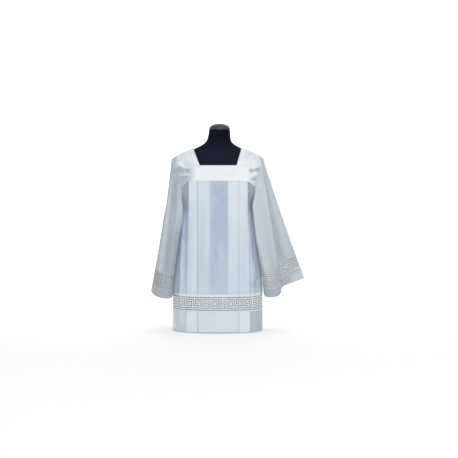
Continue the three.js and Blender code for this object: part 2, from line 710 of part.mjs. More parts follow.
for (const name of ['right', 'left']) {
  const isRight = name === 'right';
  const side = isRight ? 1 : -1;
  const lines = isRight
    ? sleeveLines(CUFF_RIGHT, { fall: SWAG_RIGHT, spread: () => 0, shoulder: 0 })
    : sleeveLines(CUFF_LEFT, { fall: SWAG_LEFT, spread: leftSpread, shoulder: LEFT_SHOULDER });
  const bandLines = lines.filter((line, k) => k % 2 === 0);
  const upper = (line) => SLEEVE_ROWS.map((row) => row * above(line, CUFF + LACE_SLEEVE + SEAM));
  const band = (line) => [above(line, CUFF + SEAM / 2), above(line, CUFF + LACE_SLEEVE)];
  const cuff = (line) => [1, above(line, CUFF - SEAM / 2)];
  const upperGrid = sleeveGrid(lines, side, upper);
  straightenLastRow(upperGrid);
  addMesh(`sleeve_${name}`, clothWall(upperGrid, CLOTH, { closed: true }), BATISTE);
  const bandGrid = sleeveGrid(bandLines, side, band);
  const round = runLengths([...bandGrid, bandGrid[0]]).pop();
  const repeats = Math.round(round / KEY_PITCH / KEY_PERIOD);
  const pitch = round / (repeats * KEY_PERIOD);
  const underarm = bandLines.length / 2;
  const frontGrid = bandGrid.slice(0, underarm + 1);
  const backGrid = [...bandGrid.slice(underarm), bandGrid[0]];
  for (const [part, grid] of [['front', frontGrid], ['back', backGrid]]) {
    const last = grid.length - 1;
    const wrapped = (k) => bandGrid[(k + bandGrid.length) % bandGrid.length];
    const start = part === 'front' ? 0 : underarm;
    const open = [
      splitEdge(grid[0], grid[1], wrapped(start - 1)),
      ...grid.slice(1, last),
      splitEdge(grid[last], grid[last - 1], wrapped(start + underarm + 1)),
    ];
    const length = runLengths(open).pop();
    const spans = [[BRIDGE, length - BRIDGE]];
    const key = { spans, zero: 0, pitch, tall: LACE_SLEEVE, through: SLEEVE_LACE_CUT };
    addMesh(`sleeve_lace_${name}_${part}`, laceWall(open, key), LACE);
  }
  const cuffGrid = sleeveGrid(bandLines, side, cuff);
  addMesh(`cuff_${name}`, clothWall(cuffGrid, HEM_CLOTH, { closed: true }), DOUBLED);
}

// ---- dress form ----------------------------------------------------------------------------
const NECK_FOOT_Z = 935;
const NECK_TOP_Z = TORSO[TORSO.length - 1].z;

function torso() {
  const positions = [];
  const triangles = [];
  for (const { z, wide, deep, power } of TORSO) {
    const lean = NECK_LEAN * smooth((z - NECK_FOOT_Z) / (NECK_TOP_Z - NECK_FOOT_Z));
    for (let k = 0; k < TORSO_SIDES; k += 1) {
      const angle = (2 * Math.PI * k) / TORSO_SIDES;
      const turn = (value) => Math.sign(value) * Math.abs(value) ** (2 / power);
      positions.push(lean + wide * turn(Math.cos(angle)), deep * turn(Math.sin(angle)), z);
    }
  }
  const ring = (level, k) => level * TORSO_SIDES + (k % TORSO_SIDES);
  const top = TORSO.length - 1;
  for (let k = 0; k < TORSO_SIDES; k += 1) {
    for (let level = 0; level < top; level += 1) {
      triangles.push(ring(level, k), ring(level, k + 1), ring(level + 1, k + 1));
      triangles.push(ring(level, k), ring(level + 1, k + 1), ring(level + 1, k));
    }
  }
  for (let k = 1; k < TORSO_SIDES - 1; k += 1) {
    triangles.push(ring(0, 0), ring(0, k + 1), ring(0, k));
    triangles.push(ring(top, 0), ring(top, k), ring(top, k + 1));
  }
  return outwards(positions, triangles);
}

// A solid turned about the vertical through points of (radius, height).
function turned(profile, sides) {
  const geometry = new THREE.LatheGeometry(profile.map(([r, h]) => new THREE.Vector2(r, h)), sides);
  geometry.rotateX(Math.PI / 2);
  geometry.deleteAttribute('normal');
  geometry.deleteAttribute('uv');
  const merged = mergeVertices(geometry, 1e-4);
  const whole = [];
  const index = merged.index.array;
  for (let k = 0; k < index.length; k += 3) {
    const [a, b, c] = [index[k], index[k + 1], index[k + 2]];
    if (a !== b && b !== c && c !== a) whole.push(a, b, c);
  }
  return outwards(Array.from(merged.attributes.position.array), whole);
}

addMesh('form_torso', torso(), JERSEY);

const capProfile = [[0, 0], [CAP_RADIUS, 0], [CAP_RADIUS, CAP_RIM]];
for (const degrees of [25, 50, 70]) {
  const angle = THREE.MathUtils.degToRad(degrees);
  capProfile.push([CAP_RADIUS * Math.cos(angle), CAP_RIM + CAP_DOME * Math.sin(angle)]);
}
capProfile.push([0, CAP_RIM + CAP_DOME]);
const cap = addMesh('form_neck_cap', turned(capProfile, 28), CAP_GREY);
cap.position.set(NECK_LEAN, 0, NECK_TOP_Z + SEAM);

const poleHeight = TORSO[0].z - BASE_HEIGHT - 2 * SEAM;
const poleProfile = [[0, 0], [POLE_RADIUS, 0], [POLE_RADIUS, poleHeight], [0, poleHeight]];
const pole = addMesh('form_pole', turned(poleProfile, 24), STEEL);
pole.position.z = BASE_HEIGHT + SEAM;

const baseProfile = [
  [0, 0],
  [BASE_RADIUS, 0],
  [BASE_RADIUS, BASE_HEIGHT - BASE_BEVEL],
  [BASE_RADIUS - BASE_BEVEL, BASE_HEIGHT],
  [0, BASE_HEIGHT],
];
addMesh('form_base', turned(baseProfile, 36), STEEL);

export default group;
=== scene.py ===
"""White pleated surplice with key pattern lace, resting on a limbless dress form.

Lengths are in millimetres up to the moment a mesh is made, and in metres after it.
The wearer faces -Y, and the origin is on the floor below the neck.
"""

import json
import math

import bpy
import numpy as np
from mathutils import Vector
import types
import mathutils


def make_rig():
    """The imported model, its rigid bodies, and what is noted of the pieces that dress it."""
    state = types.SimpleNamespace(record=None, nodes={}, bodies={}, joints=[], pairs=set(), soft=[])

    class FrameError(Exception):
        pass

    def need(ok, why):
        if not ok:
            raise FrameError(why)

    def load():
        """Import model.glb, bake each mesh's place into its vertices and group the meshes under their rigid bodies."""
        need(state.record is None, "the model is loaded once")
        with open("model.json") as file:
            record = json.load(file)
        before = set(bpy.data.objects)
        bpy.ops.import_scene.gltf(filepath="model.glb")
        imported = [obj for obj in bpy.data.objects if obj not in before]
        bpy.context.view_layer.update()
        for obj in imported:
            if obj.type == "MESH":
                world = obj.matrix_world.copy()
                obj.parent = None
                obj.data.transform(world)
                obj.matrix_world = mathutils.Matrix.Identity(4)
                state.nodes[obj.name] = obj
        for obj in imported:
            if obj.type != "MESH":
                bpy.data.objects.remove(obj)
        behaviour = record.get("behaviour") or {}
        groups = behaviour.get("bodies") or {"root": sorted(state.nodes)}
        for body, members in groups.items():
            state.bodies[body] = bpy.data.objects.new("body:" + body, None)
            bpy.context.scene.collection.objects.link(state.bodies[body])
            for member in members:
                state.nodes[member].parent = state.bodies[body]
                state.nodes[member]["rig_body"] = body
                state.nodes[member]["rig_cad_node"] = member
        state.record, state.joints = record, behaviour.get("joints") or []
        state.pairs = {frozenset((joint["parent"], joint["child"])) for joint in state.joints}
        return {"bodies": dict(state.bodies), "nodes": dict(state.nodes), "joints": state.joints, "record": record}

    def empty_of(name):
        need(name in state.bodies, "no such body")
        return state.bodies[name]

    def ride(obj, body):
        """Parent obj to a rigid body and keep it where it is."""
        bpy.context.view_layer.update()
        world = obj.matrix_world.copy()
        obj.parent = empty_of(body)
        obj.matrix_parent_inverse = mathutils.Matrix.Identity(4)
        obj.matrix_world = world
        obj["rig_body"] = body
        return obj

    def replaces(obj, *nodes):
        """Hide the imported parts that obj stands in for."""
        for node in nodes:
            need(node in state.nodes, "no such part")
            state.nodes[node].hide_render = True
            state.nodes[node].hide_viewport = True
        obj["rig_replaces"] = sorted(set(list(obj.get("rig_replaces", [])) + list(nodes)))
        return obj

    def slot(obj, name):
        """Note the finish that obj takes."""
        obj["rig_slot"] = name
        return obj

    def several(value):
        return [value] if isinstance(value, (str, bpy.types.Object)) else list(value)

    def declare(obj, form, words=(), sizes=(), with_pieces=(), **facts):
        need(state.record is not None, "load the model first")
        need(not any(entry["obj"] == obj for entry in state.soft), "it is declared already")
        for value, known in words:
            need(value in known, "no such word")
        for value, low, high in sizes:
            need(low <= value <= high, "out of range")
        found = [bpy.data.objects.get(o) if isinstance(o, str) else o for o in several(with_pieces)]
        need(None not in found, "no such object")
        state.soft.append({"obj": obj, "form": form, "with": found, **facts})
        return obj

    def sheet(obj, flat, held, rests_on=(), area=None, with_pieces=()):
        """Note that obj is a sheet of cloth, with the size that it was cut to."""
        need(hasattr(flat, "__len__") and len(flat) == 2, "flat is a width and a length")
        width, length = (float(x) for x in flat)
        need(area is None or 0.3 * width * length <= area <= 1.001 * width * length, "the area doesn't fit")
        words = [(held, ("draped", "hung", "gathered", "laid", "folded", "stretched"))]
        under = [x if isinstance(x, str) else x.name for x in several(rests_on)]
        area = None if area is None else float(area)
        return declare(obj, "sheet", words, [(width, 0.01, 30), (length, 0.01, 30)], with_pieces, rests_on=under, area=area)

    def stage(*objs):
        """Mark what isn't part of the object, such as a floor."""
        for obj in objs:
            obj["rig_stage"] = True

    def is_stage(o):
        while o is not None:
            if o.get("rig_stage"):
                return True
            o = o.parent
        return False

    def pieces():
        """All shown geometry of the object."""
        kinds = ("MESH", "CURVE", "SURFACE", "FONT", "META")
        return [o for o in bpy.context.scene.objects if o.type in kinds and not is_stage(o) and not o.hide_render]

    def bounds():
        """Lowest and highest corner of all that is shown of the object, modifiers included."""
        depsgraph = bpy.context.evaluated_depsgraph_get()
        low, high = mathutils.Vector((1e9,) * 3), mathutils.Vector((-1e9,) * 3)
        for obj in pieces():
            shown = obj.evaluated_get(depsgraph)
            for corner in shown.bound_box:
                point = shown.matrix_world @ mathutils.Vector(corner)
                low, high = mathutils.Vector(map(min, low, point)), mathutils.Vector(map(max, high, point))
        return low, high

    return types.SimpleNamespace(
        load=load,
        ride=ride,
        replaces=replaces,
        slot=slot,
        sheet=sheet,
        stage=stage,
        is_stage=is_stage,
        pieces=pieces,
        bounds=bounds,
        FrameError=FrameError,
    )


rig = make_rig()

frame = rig.load()
cad_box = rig.bounds()

MM = 0.001
SHARP_ANGLE = math.radians(48)
FRONT, BACK = -1, 1

# ---- sizes of the garment, as cut and hung ------------------------------------------------
CLOTH = 0.6  # thickness where the cloth is single
DOUBLED = 1.0  # thickness where it is doubled
HEM_Z = 6
LACE_LOW_Z = 113
LACE_HIGH_Z = 201
UNDERARM_Z = 632
LEFT_SPREAD = 8
YOKE_LOW_Z = 777
YOKE_CORNER_Z = 748
YOKE_DIP_FROM = 150
YOKE_DIP_TO = 188
YOKE_HALF = 242
YOKE_MOST = 0.99  # share of the half width where the chest's curve stops
SECTION_POWER = 3

LAYER = 2.1  # from one layer of a pleat to the next
# Half width of the single cloth that shows at the middle, and how softly it ends, by side.
SHOW_THROUGH = {1: (50, 4), -1: (42, 9)}
CENTRE_HALF = 101.5
CENTRE_UNDERFOLD = 53
SIDE_FOLD_TOP = 148
SIDE_FOLD_HEM = 162
SIDE_UNDERFOLD = 50
SIDE_EASE = 1.4
SEAM = 0.2  # gap above or below a lace band
SLEEVE_SEAM = 0.3
YOKE_SEAM = 0.5

NECK_TOP = {1: 121, -1: 131}
NECK_LOW_HALF = 94
NECK_Z = {FRONT: 855, BACK: 893}
SHOULDER_DROP = 200
CHEST_DEPTH = 131

LACE_SLEEVE = 82
CUFF = 45
SLEEVE_CLEAR = 4.5
UNDERARM_CLEAR = 1.8
CLEAR_GROWTH = 0.02
ARMHOLE_GAP = 0.4
ARMHOLE_GAP_LOW = 1.9

KEY_PITCH = 10.07
KEY_ROW = 10.7
KEY_LINE = 4.4
KEY_DOWN = 4.5
KEY_PERIOD = 8
KEY_RING = 7
RING_FROM_CENTRE = -13.1
KEY_PATH = [(3, 1), (5, 1), (5, 4), (12, 4), (12, 2), (10, 2), (10, 0), (17, 0), (17, 3), (19, 3)]
SQUARE_PATH = [(6, 1), (8, 1), (8, 3), (6, 3), (6, 1)]
DOT_PATH = [(7, 2), (7, 2)]
BORDER_ROWS = (-1, 5)
BAR_STEP = 1.9
BAR_HALF = 0.55
BAR_THICK = 0.2
BAR_GRIP = 0.5  # how far a bar runs into the cloth at its ends

BODY = dict(
    z=[0, 202, 316, 394, 467, 550, 632, 654, 700, 748, 777],
    wide=[230, 231, 223, 211, 201, 193, 186, 187.5, 205, 236, 242],
    deep=[150, 148, 146, 144, 142, 139, 136, 135, 133.5, 131.5, 130],
)
RIDGE = dict(x=[0, 94, 125, 165, 204, 235], z=[955, 951, 945.5, 930, 914, 891])
ARMHOLE = dict(
    x=[204, 213, 220, 225, 217, 203, 188, 183, 184, 186],
    y=[0, 24, 47, 72, 91, 101, 105, 88, 48, 0],
    z=[914, 892, 866, 838, 805, 774, 748, 700, 654, 632],
    puff=[22, 15, 8, 5, 5, 7, 6, 4, 0, 0],
    swag=[0, 0, 0, 0, 2, 9, 20, 12, 2, 0],
)
SWAG = {"right": (0.2, 0.45, 0.85), "left": (0.2, 0.22, 0.5)}  # full, ends, ended
SHOULDER = {"right": 0, "left": 14}
CUFF_RIGHT = dict(
    x=[449, 394, 334, 322, 304, 272, 245, 238, 237, 237, 240, 250, 276, 308, 330, 354, 388, 422],
    y=[0, -32, -42, -85, -122, -133, -108, -62, -22, 18, 58, 98, 118, 108, 80, 56, 40, 22],
    z=[266, 250, 226, 203, 188, 183, 183, 184, 185, 187, 189, 192, 197, 207, 220, 232, 246, 258],
)
CUFF_LEFT = dict(
    x=[347, 347, 336, 316, 288, 260, 243, 238, 237, 237, 238, 246, 268, 298, 318, 328, 338, 345],
    y=[0, -46, -88, -122, -142, -136, -104, -62, -20, 22, 64, 106, 136, 140, 116, 92, 64, 32],
    z=[209, 204, 196, 188, 181, 177, 176, 176, 177, 178, 180, 183, 187, 193, 199, 203, 207, 209],
)
TORSO = dict(
    z=[300, 312, 400, 540, 640, 740, 800, 850, 880, 900, 914, 925, 935, 946, 958, 972, 987, 1006, 1038],
    wide=[138, 150, 160, 140, 150, 170, 186, 193, 194, 192, 184, 170.5, 138.5, 115, 91.5, 72, 62, 58, 54],
    deep=[100, 110, 116, 102, 106, 112, 113, 104, 93, 86, 80, 73.5, 71.5, 67, 63, 59, 56, 55, 54],
    power=[2.3, 2.3, 2.3, 2.3, 2.4, 2.5, 2.5, 2.4, 2, 1.7, 1.55, 1.5, 1.5, 1.6, 1.8, 2, 2, 2, 2],
)
NECK_LEAN = 6
NECK_FOOT_Z = 935
YOKE_STEPS = 12
ARMHOLE_STEPS = 18
NECK_ROW = 6
PUFF_SHARE = 0.04
TAPE_HALF = 1.7
TAPE_LIFT = 0.62
TAPE_THICK = 0.6
BINDING = 1.5
CORD = 0.55
STITCH_OUT = 0.5
CAP_Z = 1038.3
CAP_RADIUS = 55
CAP_BAND = 4
CAP_DOME = 29

# ---- how white the cloth looks --------------------------------------------------------------
# Cover is 1 where cloth lies in layers and 0 where it is single. These numbers change it from
# place to place, by side of the wearer where a table has two sides. Many of them paint light
# and shade into it: painted shade in folds, corners and beside the sleeves, painted light on
# cloth that lies in shade, and one side lighter than the other.
# Painted shade on the inner face of each side's pleat, deeper on the left (side -1).
PLEAT_SHADE = {1: 0.03, -1: 0.22}
FOLD_LINE = {1: 0.6, -1: 0.95}  # shadow along the fold beside the middle panel
# Painted light and painted shade on folds: lighter where a fold stands out, darker in a trough.
FOLD_SHADE = 0.045  # change for each millimetre that a fold stands out
YOKE_SHADE = 0.09  # the same on the yoke
LEAST_COVER = 0.284  # of the skirt's panels
# Painted shade on the skirt's side panels next to a sleeve, above a height.
BESIDE_SLEEVE = 1.15  # how much less the skirt has next to a sleeve, above a height
BESIDE_FROM_Z = 600
GREYER_DOWN = 0.3  # what the layered cloth loses over a length down the skirt
GREYER_OVER = 460
CLEAR_COVER = 0.2  # more where the cloth hangs clear of the form
CLEAR_Z = 480
# Painted light at the top of the middle panel, against the shade under the yoke.
TOP_COVER = 0.16  # more at the top of the middle panel
# Painted light on the side panels against the shade beside the sleeves: a little all over, more on the right (side 1)
# about a height, and more towards the side seam.
SIDE_COVER = 0.12
SIDE_BRIGHT = {1: 0.25, -1: 0}
SIDE_BRIGHT_Z = 500
SIDE_EDGE = 0.9  # more towards the side seam
SIDE_EDGE_Z = 620
# Painted shade in the corner behind the outer pleat.
SIDE_FOLD_DARK = 0.3  # less in the corner behind the outer pleat
HEM_EASE = 0.74
HEM_MIDDLE = 0.8
# Painted light on the hem's left side and painted shade on its right side, beyond the outer fold, in the front view.
HEM_LEFT = 0.46
HEM_RIGHT = 0.1  # share of the cover that is left
# Painted shade at the yoke's outer corners, deeper and wider on the left (side -1).
YOKE_SIDE = {1: (140, 50, 0.65, 0.15), -1: (104, 60, 0.95, 0.2)}  # from x, over, most, least
YOKE_SIDE_Z = 885
# Painted shade: the left sleeve is darker than the right.
SLEEVE_COVER = {"right": 0.68, "left": 0.58}
# Painted shade on the left sleeve's band beside the body, and painted light on the right one's; SLEEVE_BAND gives
# where that band lies.
SLEEVE_INNER = {"right": 0.25, "left": -0.55}  # change in the band beside the body
SLEEVE_BAND = dict(
    z=[180, 280, 360, 440, 520, 600, 700, 900],
    right=[262, 258, 252, 244, 232, 222, 214, 212],
    left=[258, 252, 246, 238, 226, 216, 214, 214],
)
BAND_HALF = 16
BAND_TOP_Z = 880
# Painted shade on the left sleeve's lace.
LACE_COVER = {"right": 1.0, "left": 0.3}
TAPE_COVER = 0.7
CUFF_TAPE_COVER = 0.3
CUFF_COVER = 0.15
# Painted light on the part of a cuff that flares out.
FLARE_COVER = 0.5  # more on the part of a cuff that flares out
FLARE_X = 350

# ---- creases ------------------------------------------------------------------------------
# The height of the folds against their tables.
SLEEVE_FOLD = 1.7
YOKE_FOLD = 1.7
BODY_FOLD = 1.4
# Each row is a crease: start and end in the front view, height out of the cloth (+) or into
# it (-), and the half width of the fold.
BODY_CREASES = [
    ((-30, 770), (-62, 330), 2.2, 17),
    ((12, 740), (48, 420), -2.4, 19),
    ((34, 560), (8, 240), 2.0, 15),
    ((-12, 520), (-34, 215), -1.8, 15),
    ((46, 768), (-22, 694), -2.2, 9),
    ((-36, 722), (30, 640), 1.6, 11),
    ((38, 610), (-30, 540), -1.7, 12),
    ((-38, 470), (34, 380), 1.6, 13),
    ((30, 330), (-36, 262), -1.5, 12),
    ((-206, 560), (-172, 470), -2.4, 10),
    ((-212, 400), (-176, 300), 2.2, 11),
    ((204, 400), (178, 310), 2.2, 10),
    ((214, 300), (182, 226), -2.2, 9),
    ((76, 770), (84, 300), 1.5, 12),
    ((-80, 700), (-88, 260), -1.5, 12),
    ((-126, 600), (-134, 60), 1.6, 11),
    ((128, 520), (133, 40), -1.6, 11),
    ((-172, 740), (-196, 250), 4.2, 10),
    ((-160, 640), (-178, 230), -3.4, 9),
    ((-206, 470), (-214, 20), -4.5, 11),
    ((-186, 330), (-193, 8), 3.2, 11),
    ((172, 730), (190, 300), -4.4, 10),
    ((160, 560), (176, 240), 2.6, 9),
    ((196, 440), (206, 20), -4.6, 12),
    ((180, 250), (187, 8), 3.0, 10),
    ((-60, 96), (-44, 6), 1.6, 14),
    ((20, 100), (32, 6), -1.6, 14),
]
YOKE_CREASES = [
    ((-212, 868), (-128, 842), 4.4, 8),
    ((-210, 842), (-140, 822), -4.2, 8),
    ((-204, 812), (-132, 806), 3.6, 7),
    ((-196, 786), (-150, 796), -2.8, 6),
    ((-186, 890), (-160, 800), 2.6, 9),
    ((214, 862), (148, 838), 4.6, 7),
    ((214, 838), (152, 822), -4.8, 7),
    ((206, 818), (140, 796), 4.0, 7),
    ((200, 790), (158, 782), -3.0, 6),
    ((178, 884), (188, 800), 2.8, 9),
    ((-168, 922), (-132, 880), 1.6, 10),
    ((166, 920), (136, 884), -1.6, 10),
    ((-60, 838), (20, 824), 0.9, 9),
    ((20, 806), (98, 818), -0.8, 9),
]
# On a sleeve a row has the lines of the ring at the crease's two ends, counted from the outer
# fold (0) over the front (9) to the underarm (18) and the back (27), then the shares of the way
# down where it starts and ends, its height and its half width in lines.
SLEEVE_CREASES = {
    "right": [
        ((3.4, 3.0), (0.02, 0.9), -5, 0.9),
        ((6.2, 6.0), (0.05, 1.1), 4, 1.2),
        ((9.5, 8.6), (0.0, 0.8), -4.5, 0.9),
        ((11.6, 10.8), (0.02, 0.95), 5, 0.9),
        ((13.6, 12.6), (0.1, 0.7), -3, 0.9),
        ((1.8, 1.6), (0.3, 1.1), 2.0, 0.8),
        ((22.5, 23.0), (0.0, 0.9), -4, 1.0),
        ((25.0, 25.6), (0.05, 1.1), 4, 1.2),
        ((29.0, 29.5), (0.1, 1.0), -3.5, 1.0),
        ((32.5, 32.8), (0.0, 0.7), 3, 1.0),
    ],
    "left": [
        ((2.2, 3.4), (0.0, 0.75), -5, 1.0),
        ((4.4, 6.0), (0.03, 1.1), 5, 1.1),
        ((7.0, 8.6), (0.1, 1.0), -5, 0.9),
        ((9.8, 10.6), (0.0, 0.95), 5, 0.9),
        ((12.2, 12.6), (0.02, 0.8), -4, 0.9),
        ((0.6, 1.2), (0.35, 1.1), 2.4, 1.0),
        ((22.0, 23.0), (0.0, 0.9), -4, 1.0),
        ((26.0, 25.4), (0.05, 1.1), 4, 1.2),
        ((30.0, 29.4), (0.1, 1.0), -3.5, 1.0),
        ((33.0, 32.6), (0.0, 0.7), 3, 1.0),
    ],
}


# ---- curves and tables --------------------------------------------------------------------
def lerp(a, b, share):
    return a + (b - a) * share


def smooth(share):
    """0 up to 0 and 1 from 1 on, with a soft step between."""
    share = np.clip(share, 0, 1)
    return share * share * (3 - 2 * share)


def hump(offset, half_width):
    """1 at no offset, and softly down to 0 on both sides."""
    return np.exp(-((offset / half_width) ** 2))


def table_curve(xs, ys):
    """A smooth function through a table that never swings past its values."""
    xs, ys = np.array(xs, float), np.array(ys, float)
    steps = np.diff(xs)
    slopes = np.diff(ys) / steps
    tangents = np.zeros(len(xs))
    tangents[0], tangents[-1] = slopes[0], slopes[-1]
    for k in range(1, len(xs) - 1):
        before, after = slopes[k - 1], slopes[k]
        if before * after > 0:
            weight, other = 2 * steps[k] + steps[k - 1], steps[k] + 2 * steps[k - 1]
            tangents[k] = (weight + other) / (weight / before + other / after)

    def value(at):
        at = np.clip(at, xs[0], xs[-1])
        k = np.clip(np.searchsorted(xs, at) - 1, 0, len(steps) - 1)
        t = (at - xs[k]) / steps[k]
        low = ys[k] * (1 + 2 * t) * (1 - t) ** 2 + tangents[k] * steps[k] * t * (1 - t) ** 2
        high = ys[k + 1] * t * t * (3 - 2 * t) + tangents[k + 1] * steps[k] * t * t * (t - 1)
        return low + high

    return value


def through(points, closed=False):
    """A Catmull-Rom curve: value(k) is its point k, and k may lie between two points."""
    points = np.array(points, float)
    count = len(points)

    def pick(k):
        if closed:
            return points[k % count]
        if k < 0:
            return 2 * points[0] - points[1]
        if k >= count:
            return 2 * points[-1] - points[-2]
        return points[k]

    def value(k):
        base = int(math.floor(k))
        if not closed:
            base = min(max(base, 0), count - 2)
        t = k - base
        p0, p1, p2, p3 = (pick(base + step) for step in (-1, 0, 1, 2))
        v1, v2 = (p2 - p0) / 2, (p3 - p1) / 2
        return (
            (2 * p1 - 2 * p2 + v1 + v2) * t**3 + (-3 * p1 + 3 * p2 - 2 * v1 - v2) * t**2 + v1 * t + p1
        )

    return value


body_wide = table_curve(BODY["z"], BODY["wide"])
body_deep = table_curve(BODY["z"], BODY["deep"])
ridge_z = table_curve(RIDGE["x"], RIDGE["z"])
armhole_curve = through(list(zip(ARMHOLE["x"], ARMHOLE["y"], ARMHOLE["z"])))
armhole_puff = table_curve(range(10), ARMHOLE["puff"])
armhole_swag = table_curve(range(10), ARMHOLE["swag"])


def armhole_point(step):
    """Point of the armhole seam, 0 at the shoulder and ARMHOLE_STEPS at the underarm."""
    return armhole_curve(step / 2)


def crease_relief(creases, x, z):
    """How far the creases move the cloth at a place in the front view, with soft ends."""
    total = np.zeros(np.broadcast(x, z).shape)
    for (x0, z0), (x1, z1), height, width in creases:
        run = np.array((x1 - x0, z1 - z0), float)
        length = np.hypot(*run)
        along = ((x - x0) * run[0] + (z - z0) * run[1]) / length**2
        across = ((x - x0) * run[1] - (z - z0) * run[0]) / length
        ends = smooth(along / 0.22) * smooth((1 - along) / 0.22)
        wander = width * 0.35 * np.sin(along * 5 + x0)
        total += height * ends * hump(across + wander, width)
    return total


# ---- making meshes ------------------------------------------------------------------------
def grid_normals(grid, closed=False):
    """Offset directions at the points of a grid, mitred where the cloth turns a corner."""
    across = np.roll(grid, -1, axis=0)[:, 1:] - grid[:, :-1]
    down = grid[:, 1:] - np.roll(grid, -1, axis=0)[:, :-1]
    cells = np.cross(across, down)
    if not closed:
        cells = cells[:-1]
    size = np.linalg.norm(cells, axis=2, keepdims=True)
    cells = cells / np.maximum(size, 1e-9)
    rows = np.zeros((cells.shape[0], grid.shape[1], 3))
    rows[:, :-1] += cells
    rows[:, 1:] += cells
    rows /= np.maximum(np.linalg.norm(rows, axis=2, keepdims=True), 1e-9)
    if closed:
        before, after = np.roll(rows, 1, axis=0), rows
    else:
        before = np.concatenate([rows[:1], rows])
        after = np.concatenate([rows, rows[-1:]])
    turn = 1 + (before * after).sum(axis=2, keepdims=True)
    return (before + after) / np.maximum(turn, 0.6)


def outward_normals(grid):
    """The normals of a front or back piece, away from the wearer."""
    normals = grid_normals(grid)
    return normals * np.sign((normals[..., 1] * grid[..., 1]).sum())


def make_mesh(name, points, faces, uvs=None, values=None):
    """A Blender object from points in millimetres, with cloth coordinates and point values."""
    mesh = bpy.data.meshes.new(name)
    mesh.from_pydata((np.asarray(points, float) * MM).tolist(), [], list(faces))
    mesh.update()
    if uvs is not None:
        layer = mesh.uv_layers.new(name="cloth")
        corners = np.zeros(len(mesh.loops), dtype=np.int32)
        mesh.loops.foreach_get("vertex_index", corners)
        layer.data.foreach_set("uv", (np.asarray(uvs, float)[corners] * MM).astype(np.float32).ravel())
    for key, numbers in (values or {}).items():
        attribute = mesh.attributes.new(key, "FLOAT", "POINT")
        attribute.data.foreach_set("value", np.asarray(numbers, np.float32))
    mesh.polygons.foreach_set("use_smooth", np.ones(len(mesh.polygons), dtype=bool))
    mesh.set_sharp_from_angle(angle=SHARP_ANGLE)
    piece = bpy.data.objects.new(name, mesh)
    bpy.context.scene.collection.objects.link(piece)
    return piece


def volume_of(points, faces):
    """Six times the volume inside the faces, negative where they face inwards."""
    a, b, c, d = (points[faces[:, k]] for k in range(4))
    first = np.einsum("ij,ij->i", a, np.cross(b, c)).sum()
    return first + np.einsum("ij,ij->i", a, np.cross(c, d)).sum()


def run_lengths(grid):
    """Distance along a grid's middle row at each column."""
    middle = grid[:, grid.shape[1] // 2]
    steps = np.linalg.norm(np.diff(middle, axis=0), axis=1)
    return np.concatenate([[0], np.cumsum(steps)])


def cloth_shell(name, grid, thickness, closed=False, keep=None, cover=None, normals=None):
    """A closed shell of even thickness on a grid of points, grid[column][row].

    keep marks the cells that are cloth, and cover is a value for each point: 0 where the cloth
    is single over the dark form, 1 where it is laid in several layers, with painted light and
    painted shade added in places.
    """
    columns, rows = grid.shape[:2]
    cells = columns if closed else columns - 1
    keep = np.ones((cells, rows - 1), bool) if keep is None else keep
    cover = np.zeros((columns, rows)) if cover is None else cover
    offset = (grid_normals(grid, closed) if normals is None else normals) * thickness / 2
    points = np.concatenate([(grid + offset).reshape(-1, 3), (grid - offset).reshape(-1, 3)])
    index = np.arange(columns * rows).reshape(columns, rows)
    count = columns * rows
    right = np.roll(index, -1, axis=0)[:cells]
    here = index[:cells]
    a, b, c, d = here[:, :-1], right[:, :-1], right[:, 1:], here[:, 1:]
    quads = np.stack([a, b, c, d], axis=-1)
    faces = [quads[keep], quads[keep][:, ::-1] + count]

    def edge(mask, first, second):
        p, q = first[mask], second[mask]
        faces.append(np.stack([p, p + count, q + count, q], axis=-1))

    gone = np.zeros((cells, 1), bool)
    edge(keep & ~np.concatenate([gone, keep[:, :-1]], axis=1), a, b)
    edge(keep & ~np.concatenate([keep[:, 1:], gone], axis=1), c, d)
    if closed:
        before, after = np.roll(keep, 1, axis=0), np.roll(keep, -1, axis=0)
    else:
        none = np.zeros((1, rows - 1), bool)
        before = np.concatenate([none, keep[:-1]])
        after = np.concatenate([keep[1:], none])
    edge(keep & ~before, d, a)
    edge(keep & ~after, b, c)
    faces = np.concatenate(faces)
    if volume_of(points, faces) < 0:
        faces = faces[:, ::-1]
    along = run_lengths(grid)
    down = np.linalg.norm(np.diff(grid, axis=1), axis=2)
    down = np.concatenate([np.zeros((columns, 1)), np.cumsum(down, axis=1)], axis=1)
    flat = np.stack([np.broadcast_to(along[:, None], (columns, rows)), down], axis=-1).reshape(-1, 2)
    used = np.unique(faces)
    renumber = np.zeros(len(points), int)
    renumber[used] = np.arange(len(used))
    values = {"cover": np.tile(cover.reshape(-1), 2)[used]}
    uvs = np.tile(flat, (2, 1))[used]
    return make_mesh(name, points[used], renumber[faces].tolist(), uvs, values)


def joined_boxes(name, centres, sides):
    """Many small boxes as one mesh: centres (n, 3) and half sides (n, 3 directions, 3)."""
    signs = np.array([(i, j, k) for k in (-1, 1) for j in (-1, 1) for i in (-1, 1)], float)
    points = centres[:, None] + np.einsum("sk,nkc->nsc", signs, sides)
    pattern = np.array(
        [(0, 2, 3, 1), (4, 5, 7, 6), (0, 1, 5, 4), (2, 6, 7, 3), (0, 4, 6, 2), (1, 3, 7, 5)]
    )
    turned = np.linalg.det(sides) < 0
    faces = pattern[None] + 8 * np.arange(len(centres))[:, None, None]
    faces[turned] = faces[turned][:, :, ::-1]
    return make_mesh(name, points.reshape(-1, 3), faces.reshape(-1, 4).tolist())


def points_at(distances, lengths, points):
    """Points of a line at distances along it."""
    return np.stack([np.interp(distances, lengths, points[:, k]) for k in range(3)], axis=-1)


def ring_faces(rings, sides):
    """Faces between closed rings of points that follow each other."""
    faces = []
    for start in range(0, (rings - 1) * sides, sides):
        for k in range(sides):
            a, b = start + k, start + (k + 1) % sides
            faces.append((a, b, b + sides, a + sides))
    return faces


